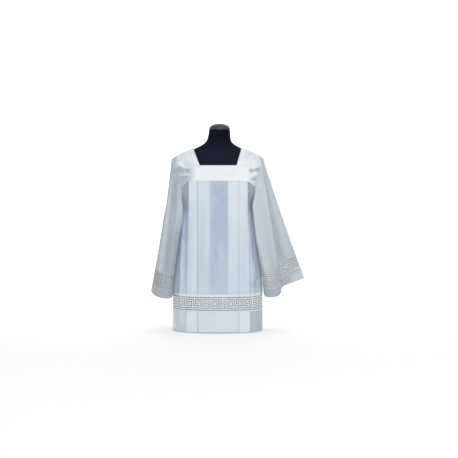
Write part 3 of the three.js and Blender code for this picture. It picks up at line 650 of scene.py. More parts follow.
def stitch_row(name, path, normals, length=2.6, gap=0.9, thick=0.5, lift=0.3):
    """Rounded stitches along a path of points, standing a little above the cloth."""
    path = np.asarray(path, float)
    steps = np.linalg.norm(np.diff(path, axis=0), axis=1)
    lengths = np.concatenate([[0], np.cumsum(steps)])
    count = int(lengths[-1] / (length + gap))
    starts = (np.arange(count) + 0.5) * lengths[-1] / count
    middle = points_at(starts, lengths, path)
    reach = length / 2
    along = points_at(starts + reach, lengths, path) - points_at(starts - reach, lengths, path)
    along /= np.linalg.norm(along, axis=1, keepdims=True)
    up = points_at(starts, lengths, np.asarray(normals, float))
    up /= np.linalg.norm(up, axis=1, keepdims=True)
    side = np.cross(up, along)
    rings = [(-0.5, 0.35), (-0.3, 0.95), (0.3, 0.95), (0.5, 0.35)]
    points = []
    for share, scale in rings:
        for k in range(6):
            angle = math.pi / 3 * k
            out = side * math.cos(angle) + up * math.sin(angle)
            points.append(middle + along * length * share + out * thick / 2 * scale + up * lift)
    points = np.stack(points, axis=1)
    faces = ring_faces(len(rings), 6)
    last = 6 * (len(rings) - 1)
    faces += [(0, 3, 2, 1), (0, 5, 4, 3), (last, last + 1, last + 2, last + 3)]
    faces += [(last, last + 3, last + 4, last + 5)]
    whole = np.array(faces)[None] + len(rings) * 6 * np.arange(count)[:, None, None]
    return make_mesh(name, points.reshape(-1, 3), whole.reshape(-1, 4).tolist())


# ---- body: pleats --------------------------------------------------------------------------
def squared(share):
    """Depth of the body's rounded plan at a share of its half width."""
    return (1 - np.clip(share, 0, 1) ** SECTION_POWER) ** (1 / SECTION_POWER)


def side_fold(z):
    """Where the outer pleat's fold lies at a height."""
    return lerp(SIDE_FOLD_HEM, SIDE_FOLD_TOP, np.clip(z / YOKE_LOW_Z, 0, 1))


def plan_point(angle, z):
    """Point of the body's plan at an angle from the middle, and the direction square to it."""
    wide, deep = body_wide(z), body_deep(z)
    x = wide * max(math.sin(angle), 1e-9) ** (2 / SECTION_POWER)
    y = deep * max(math.cos(angle), 1e-9) ** (2 / SECTION_POWER)
    nx = x ** (SECTION_POWER - 1) / wide**SECTION_POWER
    ny = y ** (SECTION_POWER - 1) / deep**SECTION_POWER
    size = math.hypot(nx, ny)
    return x, y, nx / size, ny / size


def angle_at_x(x, z):
    return math.asin(min(1, x / body_wide(z)) ** (SECTION_POWER / 2))


def angle_at_y(y, z):
    return math.acos(min(1, y / body_deep(z)) ** (SECTION_POWER / 2))


def pleat_columns():
    """Columns of one half from the middle to the side: place, layer and how covered it is."""
    columns = []

    def under(z):
        return side_fold(z) - SIDE_UNDERFOLD

    def fixed(x):
        return lambda z: x

    def between(start, end, share):
        return lambda z: lerp(start(z), end(z), share)

    def moved(at, reach):
        return lambda z: at(z) + reach

    def panel(start, end, layer, steps, cover):
        for k in range(steps + 1):
            columns.append(dict(x=between(start, end, k / steps), layer=layer, cover=cover))

    def fold(at, layer, outwards):
        for turn in (30, 60, 90, 120, 150):
            reach = outwards * LAYER / 2 * math.sin(math.radians(turn))
            depth = layer + (1 - math.cos(math.radians(turn))) / 2
            columns.append(dict(x=moved(at, reach), layer=depth, cover="pleat"))

    inner = CENTRE_HALF - CENTRE_UNDERFOLD
    panel(fixed(0), fixed(CENTRE_HALF), 0, 22, "centre")
    fold(fixed(CENTRE_HALF), 0, 1)
    panel(fixed(CENTRE_HALF), fixed(inner), 1, 5, "pleat")
    fold(fixed(inner), 1, -1)
    panel(fixed(inner), fixed(CENTRE_HALF), 2, 5, "pleat")
    panel(fixed(CENTRE_HALF + 1), fixed(CENTRE_HALF + 8), 2, 4, "second")
    panel(fixed(CENTRE_HALF + 10), side_fold, 2, 12, "second")
    fold(side_fold, 2, 1)
    panel(side_fold, under, 3, 5, "pleat")
    fold(under, 3, -1)
    panel(under, side_fold, 4, 5, "pleat")
    steps = 34
    for k in range(1, steps + 1):
        columns.append(dict(side=k / steps, layer=4, cover="side"))
    return columns


HALF_COLUMNS = pleat_columns()


def yoke_edge(x):
    """Height of the yoke's lower edge."""
    drop = YOKE_LOW_Z - YOKE_CORNER_Z
    return YOKE_LOW_Z - drop * smooth((x - YOKE_DIP_FROM) / (YOKE_DIP_TO - YOKE_DIP_FROM))


def body_point(column, row):
    """Point of the right half, y counted outwards. row has a height z, or a step of the armhole."""
    seam = armhole_point(row["step"]) if "step" in row else None
    rise = (seam[2] - UNDERARM_Z) / (YOKE_CORNER_Z - UNDERARM_Z) if seam is not None else 0
    base = row.get("z", YOKE_LOW_Z)

    def height(x):
        return row["z"] if seam is None else lerp(UNDERARM_Z, yoke_edge(x), rise)

    if "side" not in column:
        z = height(column["x"](base))
        x = column["x"](z)
        _, y, _, out_y = plan_point(angle_at_x(x, z), z)
        return x, y - column["layer"] * LAYER / out_y, z
    share = column["side"]
    end = body_wide(row["z"]) if seam is None else seam[0]
    z = height(lerp(side_fold(base), end, share))
    start = angle_at_x(side_fold(z), z)
    stop = angle_at_y(0 if seam is None else seam[1], z)
    eased = 1 - (1 - share) ** SIDE_EASE
    x, y, out_x, out_y = plan_point(lerp(start, stop, eased), z)
    inward = (1 - share) * column["layer"] * LAYER
    x, y = x - out_x * inward, y - out_y * inward
    if seam is not None:
        x += (seam[0] - plan_point(stop, z)[0]) * share**2
    return x, max(y, 0.2), z


def left_spread(z):
    """How much further out the left side stands at a height."""
    return LEFT_SPREAD * smooth((UNDERARM_Z - z) / (UNDERARM_Z - LACE_HIGH_Z))


def cover_of(column, x, z, side):
    """1 where several layers lie on each other, 0 where it is single; with painted light and shade."""
    kind = column["cover"]
    clear_of_form = CLEAR_COVER * float(smooth((CLEAR_Z - z) / 240))
    if kind == "centre":
        inner, soft = SHOW_THROUGH[side]
        # Painted light at the top of the middle panel, and painted shade on the inner pleat.
        top = TOP_COVER * hump(z - YOKE_LOW_Z, 30)
        edge = float(smooth((x - inner + soft) / (2 * soft)))
        return max(clear_of_form + top, edge * (body_shade(z) - PLEAT_SHADE[side]))
    if kind == "second":
        return body_shade(z) - FOLD_LINE[side] * hump(x - CENTRE_HALF - 2, 3.5)
    if kind == "side":
        # Painted light on the side panel, and painted shade in the corner behind the outer pleat.
        bright = SIDE_BRIGHT[side] * hump(z - SIDE_BRIGHT_Z, 150)
        edge = SIDE_EDGE * column["side"] ** 2 * float(smooth((SIDE_EDGE_Z - z) / 90))
        pleat_corner_shade = SIDE_FOLD_DARK * math.exp(-((x - side_fold(z)) / 8))
        return SIDE_COVER + clear_of_form + bright + edge - pleat_corner_shade
    return body_shade(z)


def body_shade(z):
    """The layered cloth is a little greyer further down."""
    return 1 - GREYER_DOWN * float(smooth((YOKE_LOW_Z - z) / GREYER_OVER))


def body_grid(rows, face):
    """Points and cover of a whole front or back between two heights."""
    half = np.array([[body_point(column, row) for row in rows] for column in HALF_COLUMNS])
    left_cover, right_cover = (
        np.array(
            [[cover_of(c, p[0], p[2], side) for p in line] for c, line in zip(HALF_COLUMNS, half)]
        )
        for side in (-1, 1)
    )
    right = half * (1, face, 1)
    left = (half * (-1, face, 1))[:0:-1]
    fold, wide = side_fold(left[..., 2]), body_wide(left[..., 2])
    beyond = np.clip((-left[..., 0] - fold) / (wide - fold), 0, 1)
    left[..., 0] -= left_spread(left[..., 2]) * beyond
    grid = np.concatenate([left, right])
    # The back has the same creases, mirrored.
    relief = BODY_FOLD * crease_relief(BODY_CREASES, -face * grid[..., 0], grid[..., 2])
    fade = np.clip(np.abs(grid[..., 1]) / 60, 0, 1)
    out = grid[..., :2] * (0.35, 1)
    out /= np.linalg.norm(out, axis=2, keepdims=True)
    grid[..., :2] += out * (relief * fade)[..., None]
    cover = np.concatenate([left_cover[:0:-1], right_cover])
    # Painted light and shade from the folds' relief.
    return grid, np.clip(cover + FOLD_SHADE * relief, 0, 1)


# ---- yoke ----------------------------------------------------------------------------------
def yoke_depth(x, z):
    """How far the yoke stands out from the middle plane."""
    turn = np.clip((ridge_z(x) - z) / SHOULDER_DROP, 0, 1)
    return CHEST_DEPTH * squared(min(YOKE_MOST, x / YOKE_HALF)) * math.sqrt(1 - (1 - turn) ** 2)


YOKE_FRONT_COLUMNS = 24
YOKE_STRAP_COLUMNS = 34
YOKE_FINE = 4  # rows between two steps of the armhole
ARMHOLE_X = max(ARMHOLE["x"])


def yoke_point(column, step, neck_top, neck_z):
    """Point of the right half, y counted outwards, at a step of the armhole."""
    seam = armhole_point(step)
    down = min(1, step / NECK_ROW)
    below = max(0, (step - NECK_ROW) / (YOKE_STEPS - NECK_ROW))
    neck_x = lerp(neck_top, NECK_LOW_HALF, down)
    top = lerp(float(ridge_z(neck_top)), neck_z, down)
    strap = max(0, (column - YOKE_FRONT_COLUMNS) / YOKE_STRAP_COLUMNS)
    if column <= YOKE_FRONT_COLUMNS:
        x = neck_x * column / YOKE_FRONT_COLUMNS
    else:
        x = lerp(neck_x, seam[0], strap)
    z = lerp(lerp(top, YOKE_LOW_Z, below), seam[2], strap**1.5)
    z = lerp(z, float(ridge_z(x)), max(0, 1 - step))
    z = lerp(z, float(yoke_edge(x)), max(0, step - YOKE_STEPS + 1))
    miss = seam[1] - yoke_depth(seam[0], seam[2])
    y = max(yoke_depth(x, z) + miss * strap**2, 0.25)
    return x, y, z


def yoke_grid(face):
    """Points of a yoke, the cells that are cloth, and the relief of its folds."""
    steps = np.linspace(0, YOKE_STEPS, YOKE_STEPS * YOKE_FINE + 1)
    columns = range(YOKE_FRONT_COLUMNS + YOKE_STRAP_COLUMNS + 1)
    left, right = (
        np.array([[yoke_point(c, s, NECK_TOP[side], NECK_Z[face]) for s in steps] for c in columns])
        for side in (-1, 1)
    )
    grid = np.concatenate([(left * (-1, face, 1))[:0:-1], right * (1, face, 1)])
    relief = YOKE_FOLD * crease_relief(YOKE_CREASES, -face * grid[..., 0], grid[..., 2])
    relief = relief * smooth((ARMHOLE_X - np.abs(grid[..., 0])) / 14)
    # Depths are turned over on the front, so there a positive height goes into the cloth.
    grid = grid + outward_normals(grid) * (relief * face)[..., None]
    cells = len(grid) - 1
    centre = np.arange(cells)
    strap = (centre < YOKE_STRAP_COLUMNS) | (centre >= cells - YOKE_STRAP_COLUMNS)
    above = np.arange(len(steps) - 1) < NECK_ROW * YOKE_FINE
    return grid, ~(above[None, :] & ~strap[:, None]), relief


# ---- sleeves -------------------------------------------------------------------------------
RING = 36
SLEEVE_COLUMNS = 216


def body_side(y, z):
    """How far out the body's side lies, 0 in front of it and behind it."""
    share = np.abs(y) / body_deep(z)
    return np.where(share < 1, body_wide(z) * squared(share), 0)


def sleeve_lines(table, columns, fall, spread, shoulder):
    """Top point, bottom point, puff and outward direction of each line down a sleeve."""
    curve = through(list(zip(table["x"], table["y"], table["z"])), closed=True)
    middle = np.array([curve(k / 2) for k in range(RING)]).mean(axis=0)
    lines = []
    for column in range(columns):
        k = column * RING / columns
        bottom = curve(k / 2)
        step = k if k <= ARMHOLE_STEPS else RING - k
        face = FRONT if k <= ARMHOLE_STEPS else BACK
        seam = armhole_point(step)
        low = (ARMHOLE["z"][0] - seam[2]) / (ARMHOLE["z"][0] - UNDERARM_Z)
        top = np.array((seam[0] + ARMHOLE_GAP + ARMHOLE_GAP_LOW * low**2, face * seam[1], seam[2]))
        away = (bottom - middle) * (1, 1, 0)
        away /= np.linalg.norm(away)
        puff = float(armhole_puff(step / 2)) + shoulder * max(0, 1 - step / NECK_ROW)
        swag = float(armhole_swag(step / 2))
        shape = dict(puff=puff, swag=swag, fall=fall, spread=spread)
        lines.append(dict(k=k, top=top, bottom=bottom, away=away, **shape))
    return lines


def sleeve_point(line, share, creases):
    """Point of a right sleeve at a share of the way down one of its lines."""
    p = lerp(line["top"], line["bottom"], share)
    relief = 0
    for ring_lines, (start, end), height, width in creases:
        centre = lerp(*ring_lines, share)
        ends = smooth((share - start) / 0.12) * smooth((end - share) / 0.2)
        gap = (line["k"] - centre + RING / 2) % RING - RING / 2
        relief += SLEEVE_FOLD * height * ends * hump(gap, width)
    swell = line["puff"] * (1 - share) ** 2 * float(smooth(share / PUFF_SHARE))
    p = p + line["away"] * (swell + relief * float(smooth(share / 0.05)))
    full, ends, ended = line["fall"]
    below = float(smooth((share - PUFF_SHARE) / (full - PUFF_SHARE)))
    p[0] -= line["swag"] * below * (1 - float(smooth((share - ends) / (ended - ends))))
    if p[2] < UNDERARM_Z:
        clear = min(SLEEVE_CLEAR, UNDERARM_CLEAR + CLEAR_GROWTH * (UNDERARM_Z - p[2]))
        p[0] = max(p[0], float(body_side(p[1], p[2]) + line["spread"](p[2])) + clear)
    return p


def above(line, distance):
    """Share of the way down a line that lies a distance above its lower end."""
    return 1 - distance / np.linalg.norm(line["top"] - line["bottom"])


def sleeve_grid(lines, side, creases, shares):
    """Points of a sleeve; shares gives the shares of the way down for a line."""
    grid = [[sleeve_point(line, share, creases) for share in shares(line)] for line in lines]
    return np.array(grid) * (side, 1, 1)


# ---- lace ----------------------------------------------------------------------------------
def key_boxes(zero, pitch, length, tall, down):
    """Open lines of the key pattern as boxes (u0, u1, h0, h1, lies) along a band, in mm."""
    boxes = []
    half = KEY_LINE / 2

    def level(row):
        return tall / 2 + (2 - row) * KEY_ROW - down

    def line(path, shift):
        for (col_a, row_a), (col_b, row_b) in zip(path, path[1:]):
            u0, u1 = sorted((zero + (col_a + shift) * pitch, zero + (col_b + shift) * pitch))
            h0, h1 = sorted((level(row_a), level(row_b)))
            boxes.append((u0 - half, u1 + half, h0 - half, h1 + half, u1 - u0 > h1 - h0))

    first = int(math.floor(-zero / pitch / KEY_PERIOD)) - 3
    for repeat in range(first, first + int(length / pitch / KEY_PERIOD) + 6):
        shift = repeat * KEY_PERIOD
        for path in (KEY_PATH, SQUARE_PATH, DOT_PATH):
            line(path, shift)
    for row in BORDER_ROWS:
        boxes.append((0, length, level(row) - half, level(row) + half, True))
    return [box for box in boxes if box[1] > 0 and box[0] < length]


def merged(values, nearest=0.05):
    """Sorted values without those that nearly repeat the one before."""
    kept = []
    for value in sorted(values):
        if not kept or value - kept[-1] > nearest:
            kept.append(value)
    return np.array(kept)


def lace_band(name, grid, cover, zero, pitch, tall, margin, down=0):
    """Openwork band on a grid of two rows, with thread bars across its open lines."""
    lengths = run_lengths(grid)
    total = lengths[-1]
    boxes = key_boxes(zero, pitch, total, tall, down)
    inside = [b for b in boxes if b[0] > margin and b[1] < total - margin or b[1] - b[0] > total / 2]
    boxes = [(max(b[0], margin), min(b[1], total - margin), *b[2:]) for b in inside]
    edges_u = [b[0] for b in boxes] + [b[1] for b in boxes]
    edges_h = [b[2] for b in boxes] + [b[3] for b in boxes]
    us = merged(edges_u + [0, total])
    between = [u for u in lengths if np.abs(us - u).min() > 0.25]
    us = merged(list(us) + between)
    hs = merged(edges_h + [0, tall])

    low, high = grid[:, 0], grid[:, -1]
    normals = grid_normals(np.stack([low, high], axis=1))[:, 0]
    lows, highs, outs = (points_at(us, lengths, line) for line in (low, high, normals))
    fine = lerp(lows[:, None], highs[:, None], (hs / tall)[None, :, None])
    mid_u, mid_h = (us[1:] + us[:-1]) / 2, (hs[1:] + hs[:-1]) / 2
    keep = np.ones((len(us) - 1, len(hs) - 1), bool)
    for u0, u1, h0, h1, _ in boxes:
        open_u = (mid_u > u0) & (mid_u < u1)
        open_h = (mid_h > h0) & (mid_h < h1)
        keep[np.ix_(open_u, open_h)] = False
    shade = np.interp(us, lengths, cover)[:, None] * np.ones((1, len(hs)))
    offset = np.repeat(outs[:, None], len(hs), axis=1)
    band = cloth_shell(name, fine, CLOTH, keep=keep, cover=shade, normals=offset)

    centres, sides = [], []
    bar_reach = KEY_LINE / 2 + BAR_GRIP
    for u0, u1, h0, h1, lies in boxes:
        start, end = (u0, u1) if lies else (h0, h1)
        count = max(1, int(round((end - start) / BAR_STEP)))
        for k in range(count):
            at = start + (k + 0.5) * (end - start) / count
            u, h = (at, (h0 + h1) / 2) if lies else ((u0 + u1) / 2, at)
            span_u, span_h = (BAR_HALF, bar_reach) if lies else (bar_reach, BAR_HALF)
            places = np.array([u - span_u, u, u + span_u])
            foot, head, out = (points_at(places, lengths, line) for line in (low, high, normals))
            line = lerp(foot, head, h / tall)
            up = (head[1] - foot[1]) / tall
            centres.append(line[1])
            sides.append(((line[2] - line[0]) / 2, up * span_h, out[1] * BAR_THICK))
    bars = joined_boxes(name + "_bars", np.array(centres), np.array(sides))
    return band, bars


# ---- shader expressions --------------------------------------------------------------------
class Socket:
    """A socket of a material, used as a value: each operator adds one Math node."""

    def __init__(self, graph, socket):
        self.graph = graph
        self.socket = socket

    def math(self, operation, *others):
        inputs = dict(enumerate((self, *others)))
        return self.graph.node("ShaderNodeMath", dict(operation=operation), inputs)

    def limited(self):
        return self.math("MAXIMUM", 0).math("MINIMUM", 1)

    def __add__(self, other):
        return self.math("ADD", other)

    def __mul__(self, other):
        return self.math("MULTIPLY", other)

    def __sub__(self, other):
        return self.math("SUBTRACT", other)

    def __rsub__(self, other):
        return self.graph.node("ShaderNodeMath", dict(operation="SUBTRACT"), {0: other, 1: self})

    __radd__ = __add__
    __rmul__ = __mul__


class Graph:
    """The nodes of one material."""

    def __init__(self, name):
        self.material = bpy.data.materials.new(name)
        self.material.use_nodes = True
        self.tree = self.material.node_tree
        self.shader = self.tree.nodes["Principled BSDF"]

    def put(self, socket, value):
        if isinstance(value, Socket):
            self.tree.links.new(value.socket, socket)
        elif hasattr(value, "__len__") and len(value) == 3 and socket.type == "RGBA":
            socket.default_value = (*value, 1)
        else:
            socket.default_value = value

    def node(self, kind, settings=None, inputs=None, output=0):
        made = self.tree.nodes.new(kind)
        for key, value in (settings or {}).items():
            setattr(made, key, value)
        for key, value in (inputs or {}).items():
            self.put(made.inputs[key], value)
        return Socket(self, made.outputs[output])

    def mix(self, factor, first, second):
        """Colour between two colours."""
        inputs = {"Factor": factor, 6: first, 7: second}
        return self.node("ShaderNodeMix", dict(data_type="RGBA"), inputs, output=2)

    def noise(self, scale, detail, vector):
        inputs = {"Scale": scale, "Detail": detail, "Vector": vector}
        return self.node("ShaderNodeTexNoise", None, inputs)

    def place(self):
        return self.node("ShaderNodeTexCoord", output=3)

    def parts(self, vector):
        """The three parts of a vector."""
        made = self.tree.nodes.new("ShaderNodeSeparateXYZ")
        self.put(made.inputs[0], vector)
        return [Socket(self, output) for output in made.outputs]

    def set(self, **values):
        for key, value in values.items():
            self.put(self.shader.inputs[key.replace("_", " ")], value)

    def bump(self, height, distance, strength):
        inputs = {"Height": height, "Distance": distance, "Strength": strength}
        self.set(Normal=self.node("ShaderNodeBump", None, inputs))


THREAD = 0.00042  # spacing of the weave's threads, in metres
# Painted shade: the grey that cloth turns to where its cover goes below zero.
SHADED_CLOTH = (0.29, 0.30, 0.30)


def cloth_material(name, single, layered, weave=1.0):
    """White cloth; single over the dark form it looks blue, in layers it looks white. Its cover also holds painted
    light and shade.
    """
    graph = Graph(name)
    across, down, _ = graph.parts(graph.node("ShaderNodeUVMap", dict(uv_map="cloth")))
    warp, weft = ((part * (2 * math.pi / THREAD)).math("SINE") for part in (across, down))
    place = graph.place()
    slub = graph.noise(420, 3, place)
    soft = graph.noise(9, 3, place)
    cover = graph.node("ShaderNodeAttribute", dict(attribute_name="cover"), output=2)
    tone = (cover + (soft - 0.5) * 0.22).limited()
    colour = graph.mix(tone, single, layered)
    # Cover below zero marks painted shade: cloth in the shade of a sleeve, and the left sleeve beside the body.
    colour = graph.mix((cover * -1 - 0.15).limited(), colour, SHADED_CLOTH)
    fleck = graph.mix((slub - 0.5) * 0.5 + 0.08, colour, [0.93 * value for value in layered])
    graph.set(Base_Color=fleck, Roughness=0.86)
    # Painted light: this even glow stands for the light that the cloth lets through.
    graph.set(Emission_Color=(0.52, 0.57, 0.62), Emission_Strength=0.11)
    graph.shader.inputs["Sheen Weight"].default_value = 0.12
    graph.shader.inputs["Sheen Roughness"].default_value = 0.6
    graph.shader.inputs["Specular IOR Level"].default_value = 0.25
    graph.bump((warp * weft * 0.5 + slub * 0.6) * weave + soft * 2.0, 0.00012, 0.55)
    return graph.material


def jersey_material():
    graph = Graph("navy_jersey_cover")
    place = graph.place()
    knit = graph.node(
        "ShaderNodeTexWave",
        dict(wave_type="BANDS", bands_direction="Z"),
        {"Vector": place, "Scale": 330, "Distortion": 1.2, "Detail": 1},
    )
    lint = graph.noise(600, 3, place)
    broad = graph.noise(7, 2, place)
    colour = graph.mix(broad, (0.007, 0.010, 0.022), (0.012, 0.016, 0.036))
    # Painted shade: the jersey is darker on the neck.
    neck_shade = ((graph.parts(place)[2] - 0.93) * 14).limited()
    colour = graph.mix(neck_shade, colour, (0.0035, 0.0045, 0.009))
    colour = graph.mix((lint - 0.45) * 0.12, colour, (0.05, 0.055, 0.08))
    graph.set(Base_Color=colour, Roughness=0.84 + (lint - 0.5) * 0.1)
    graph.shader.inputs["Specular IOR Level"].default_value = 0.12
    graph.bump(knit + lint * 0.6, 0.0003, 0.5)
    return graph.material


def hard_material(name, grain, broad, colours, rough, swing, metallic, bump):
    """A smooth finish with a fine grain; grain and broad are the scale and detail of a noise."""
    graph = Graph(name)
    place = graph.place()
    fine = graph.noise(*grain, place)
    wide = graph.noise(*broad, place)
    graph.set(Base_Color=graph.mix(wide, *colours), Roughness=rough + (wide - 0.5) * swing)
    graph.set(Metallic=metallic)
    graph.bump(fine, *bump)
    return graph.material


def thread_material(name, bright):
    graph = Graph(name)
    place = graph.place()
    ply = graph.noise(1800, 2, place)
    light = [bright * value for value in (0.97, 1.0, 1.04)]
    colour = graph.mix(ply, [0.87 * value for value in light], light)
    graph.set(Base_Color=colour, Roughness=0.7)
    graph.bump(ply, 0.0001, 0.5)
    return graph.material


SINGLE = (0.26, 0.36, 0.505)
LAYERED = (0.70, 0.765, 0.82)
OPAQUE = (0.85, 0.885, 0.915)
SLEEVE_SHADE = (0.33, 0.37, 0.42)
BATISTE = cloth_material("white_batiste", SINGLE, LAYERED)
# The sleeves' cloth, lace and cuffs are darker copies of the body's: painted shade on the sleeves.
SLEEVE_CLOTH = cloth_material("white_sleeve_batiste", SLEEVE_SHADE, (0.60, 0.655, 0.70))
DOUBLED_CLOTH = cloth_material("white_doubled_cloth", (0.50, 0.565, 0.64), OPAQUE)
YOKE_CLOTH = cloth_material("white_yoke_cloth", (0.36, 0.41, 0.46), OPAQUE)
LACE_CLOTH = cloth_material("white_key_lace", (0.34, 0.365, 0.40), (0.74, 0.785, 0.83), weave=1.5)
# Painted shade: a greyer copy of the body's lace.
SLEEVE_LACE_CLOTH = cloth_material("white_sleeve_lace", (0.38, 0.405, 0.43), (0.58, 0.62, 0.65), weave=1.5)
HEM_CLOTH = cloth_material("white_hem_cloth", (0.39, 0.45, 0.52), (0.73, 0.775, 0.81))
# Painted shade: a darker copy of the doubled cloth.
CUFF_CLOTH = cloth_material("white_cuff_cloth", (0.32, 0.35, 0.39), (0.62, 0.66, 0.72))
THREAD_WHITE = thread_material("white_thread", 0.76)
THREAD_GREY = thread_material("shaded_thread", 0.3)
JERSEY = jersey_material()
CAP = hard_material(
    name="grey_cap_plastic",
    grain=(900, 2),
    broad=(18, 2),
    colours=((0.032, 0.041, 0.054), (0.046, 0.056, 0.071)),
    rough=0.42,
    swing=0.16,
    metallic=0,
    bump=(0.00006, 0.5),
)
STEEL = hard_material(
    name="pale_powder_coated_steel",
    grain=(700, 2),
    broad=(30, 4),
    colours=((0.52, 0.53, 0.54), (0.58, 0.59, 0.60)),
    rough=0.5,
    swing=0.2,
    metallic=0.2,
    bump=(0.0001, 0.6),
)


def finish_piece(piece, material, slot, *nodes):
    """Gives a piece its material, body and slot, and the solids that it stands for."""
    piece.data.materials.clear()
    piece.data.materials.append(material)
    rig.ride(piece, "root")
    if nodes:
        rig.replaces(piece, *nodes)
    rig.slot(piece, slot)
    return piece


def cut_of(grid, keep=None):
    """Width, length and area of a grid of cloth laid flat, in metres."""
    width = np.linalg.norm(np.diff(grid, axis=0), axis=2).sum(axis=0).max() * MM
    length = np.linalg.norm(np.diff(grid, axis=1), axis=2).sum(axis=1).max() * MM
    across = grid[1:, 1:] - grid[:-1, :-1]
    down = grid[:-1, 1:] - grid[1:, :-1]
    cells = np.linalg.norm(np.cross(across, down), axis=2) / 2
    area = (cells if keep is None else cells[keep]).sum() * MM * MM
    return dict(flat=(width, length), area=min(area, width * length))


# ---- garment -------------------------------------------------------------------------------
def sew(name, path, outs, node):
    """A row of stitches in white thread."""
    return finish_piece(stitch_row(name, path, outs), THREAD_WHITE, "doubled_cloth", node)


def area_of(piece):
    """Area of one face of a thin shell, in square metres."""
    return sum(polygon.area for polygon in piece.data.polygons) / 2


def rows_between(low, high, count):
    return [dict(z=z) for z in np.linspace(low, high, count)]


def joined_round(grid):
    """A closed grid with its first column again at the end."""
    return np.concatenate([grid, grid[:1]])


def build_skirt(label, face):
    lower = rows_between(LACE_HIGH_Z + SEAM, UNDERARM_Z, 52)
    upper = [dict(step=s) for s in np.linspace(ARMHOLE_STEPS, YOKE_STEPS, 26)[1:]]
    grid, cover = body_grid(lower + upper, face)
    grid[:, -1, 2] -= YOKE_SEAM
    # Painted shade on the side panels beside the sleeves.
    beside = smooth((np.abs(grid[..., 0]) - SIDE_FOLD_TOP - 1) / 3)
    cover = LEAST_COVER + (1 - LEAST_COVER) * cover
    cover -= BESIDE_SLEEVE * beside * smooth((grid[..., 2] - BESIDE_FROM_Z) / 80)
    panel = cloth_shell(f"body_{label}_cloth", grid, CLOTH, cover=cover)
    finish_piece(panel, BATISTE, "batiste", f"body_{label}")
    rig.sheet(panel, held="gathered", rests_on=[f"yoke_{label}"], **cut_of(grid))

    node = f"lace_{label}"
    band_grid, _ = body_grid(rows_between(LACE_LOW_Z, LACE_HIGH_Z, 2), face)
    # Painted shade: the lace's folds and underfolds take its dark tone.
    shown = np.array([column["cover"] != "pleat" for column in HALF_COLUMNS], float)
    band_cover = np.concatenate([shown[:0:-1], shown])
    length = run_lengths(band_grid)[-1]
    zero = length / 2 + RING_FROM_CENTRE - KEY_RING * KEY_PITCH
    tall = LACE_HIGH_Z - LACE_LOW_Z
    band, bars = lace_band(f"{node}_band", band_grid, band_cover, zero, KEY_PITCH, tall, 3, KEY_DOWN)
    finish_piece(band, LACE_CLOTH, "key_lace", node)
    finish_piece(bars, THREAD_GREY, "key_lace", node)

    hem_grid, hem_cover = body_grid(rows_between(HEM_Z, LACE_LOW_Z - SEAM, 22), face)
    middle = np.abs(hem_grid[..., 0]) < CENTRE_HALF
    hem_cover = np.where(middle, np.maximum(hem_cover, HEM_MIDDLE), hem_cover / HEM_EASE)
    across = -face * hem_grid[..., 0]
    beyond = np.abs(across) > SIDE_FOLD_HEM + 1
    # Painted light on the left side and painted shade on the right side, beyond the outer fold.
    hem_cover = np.where(beyond & (across < 0), np.maximum(hem_cover, HEM_LEFT), hem_cover)
    hem_cover = np.where(beyond & (across > 0), HEM_RIGHT * hem_cover, hem_cover)
    hem = cloth_shell(f"hem_{label}_cloth", hem_grid, DOUBLED, cover=hem_cover)
    finish_piece(hem, HEM_CLOTH, "doubled_cloth", f"hem_{label}")

    trims = []
    for place, z in (("high", LACE_HIGH_Z), ("low", LACE_LOW_Z - 1)):
        tape_grid, _ = body_grid(rows_between(z - TAPE_HALF, z + TAPE_HALF, 3), face)
        out = outward_normals(tape_grid)
        tape_cover = np.full(out.shape[:2], TAPE_COVER)
        tape = cloth_shell(
            f"{node}_tape_{place}", tape_grid + out * TAPE_LIFT, TAPE_THICK, cover=tape_cover
        )
        finish_piece(tape, HEM_CLOTH, "doubled_cloth", node)
        path = tape_grid[:, 1] + out[:, 1]
        trims += [tape, sew(f"{node}_stitch_{place}", path, out[:, 1], node)]
    low_grid, _ = body_grid(rows_between(HEM_Z + 2.2, HEM_Z + 3.2, 2), face)
    out = outward_normals(low_grid)[:, 0]
    edge = sew(f"hem_{label}_stitch", low_grid[:, 0] + out * STITCH_OUT, out, f"hem_{label}")
    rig.sheet(
        band,
        flat=(length * MM, tall * MM),
        held="hung",
        rests_on=[f"body_{label}"],
        area=area_of(band),
        with_pieces=[bars, *trims],
    )
    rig.sheet(hem, held="hung", rests_on=[node], with_pieces=[edge], **cut_of(hem_grid))


def yoke_cover(grid, face, relief):
    """Cover of a yoke, greyer at the outer corners: painted shade, with painted light and shade on its folds."""
    low = smooth((YOKE_SIDE_Z - grid[..., 2]) / 60)
    # Painted light and shade from the folds' relief.
    cover = 1 + YOKE_SHADE * relief
    # Painted shade at the outer corners, deeper on the left.
    for side, (from_x, over, most, least) in YOKE_SIDE.items():
        outside = smooth((side * -face * grid[..., 0] - from_x) / over)
        cover -= most * outside * (least + (1 - least) * low)
    return cover


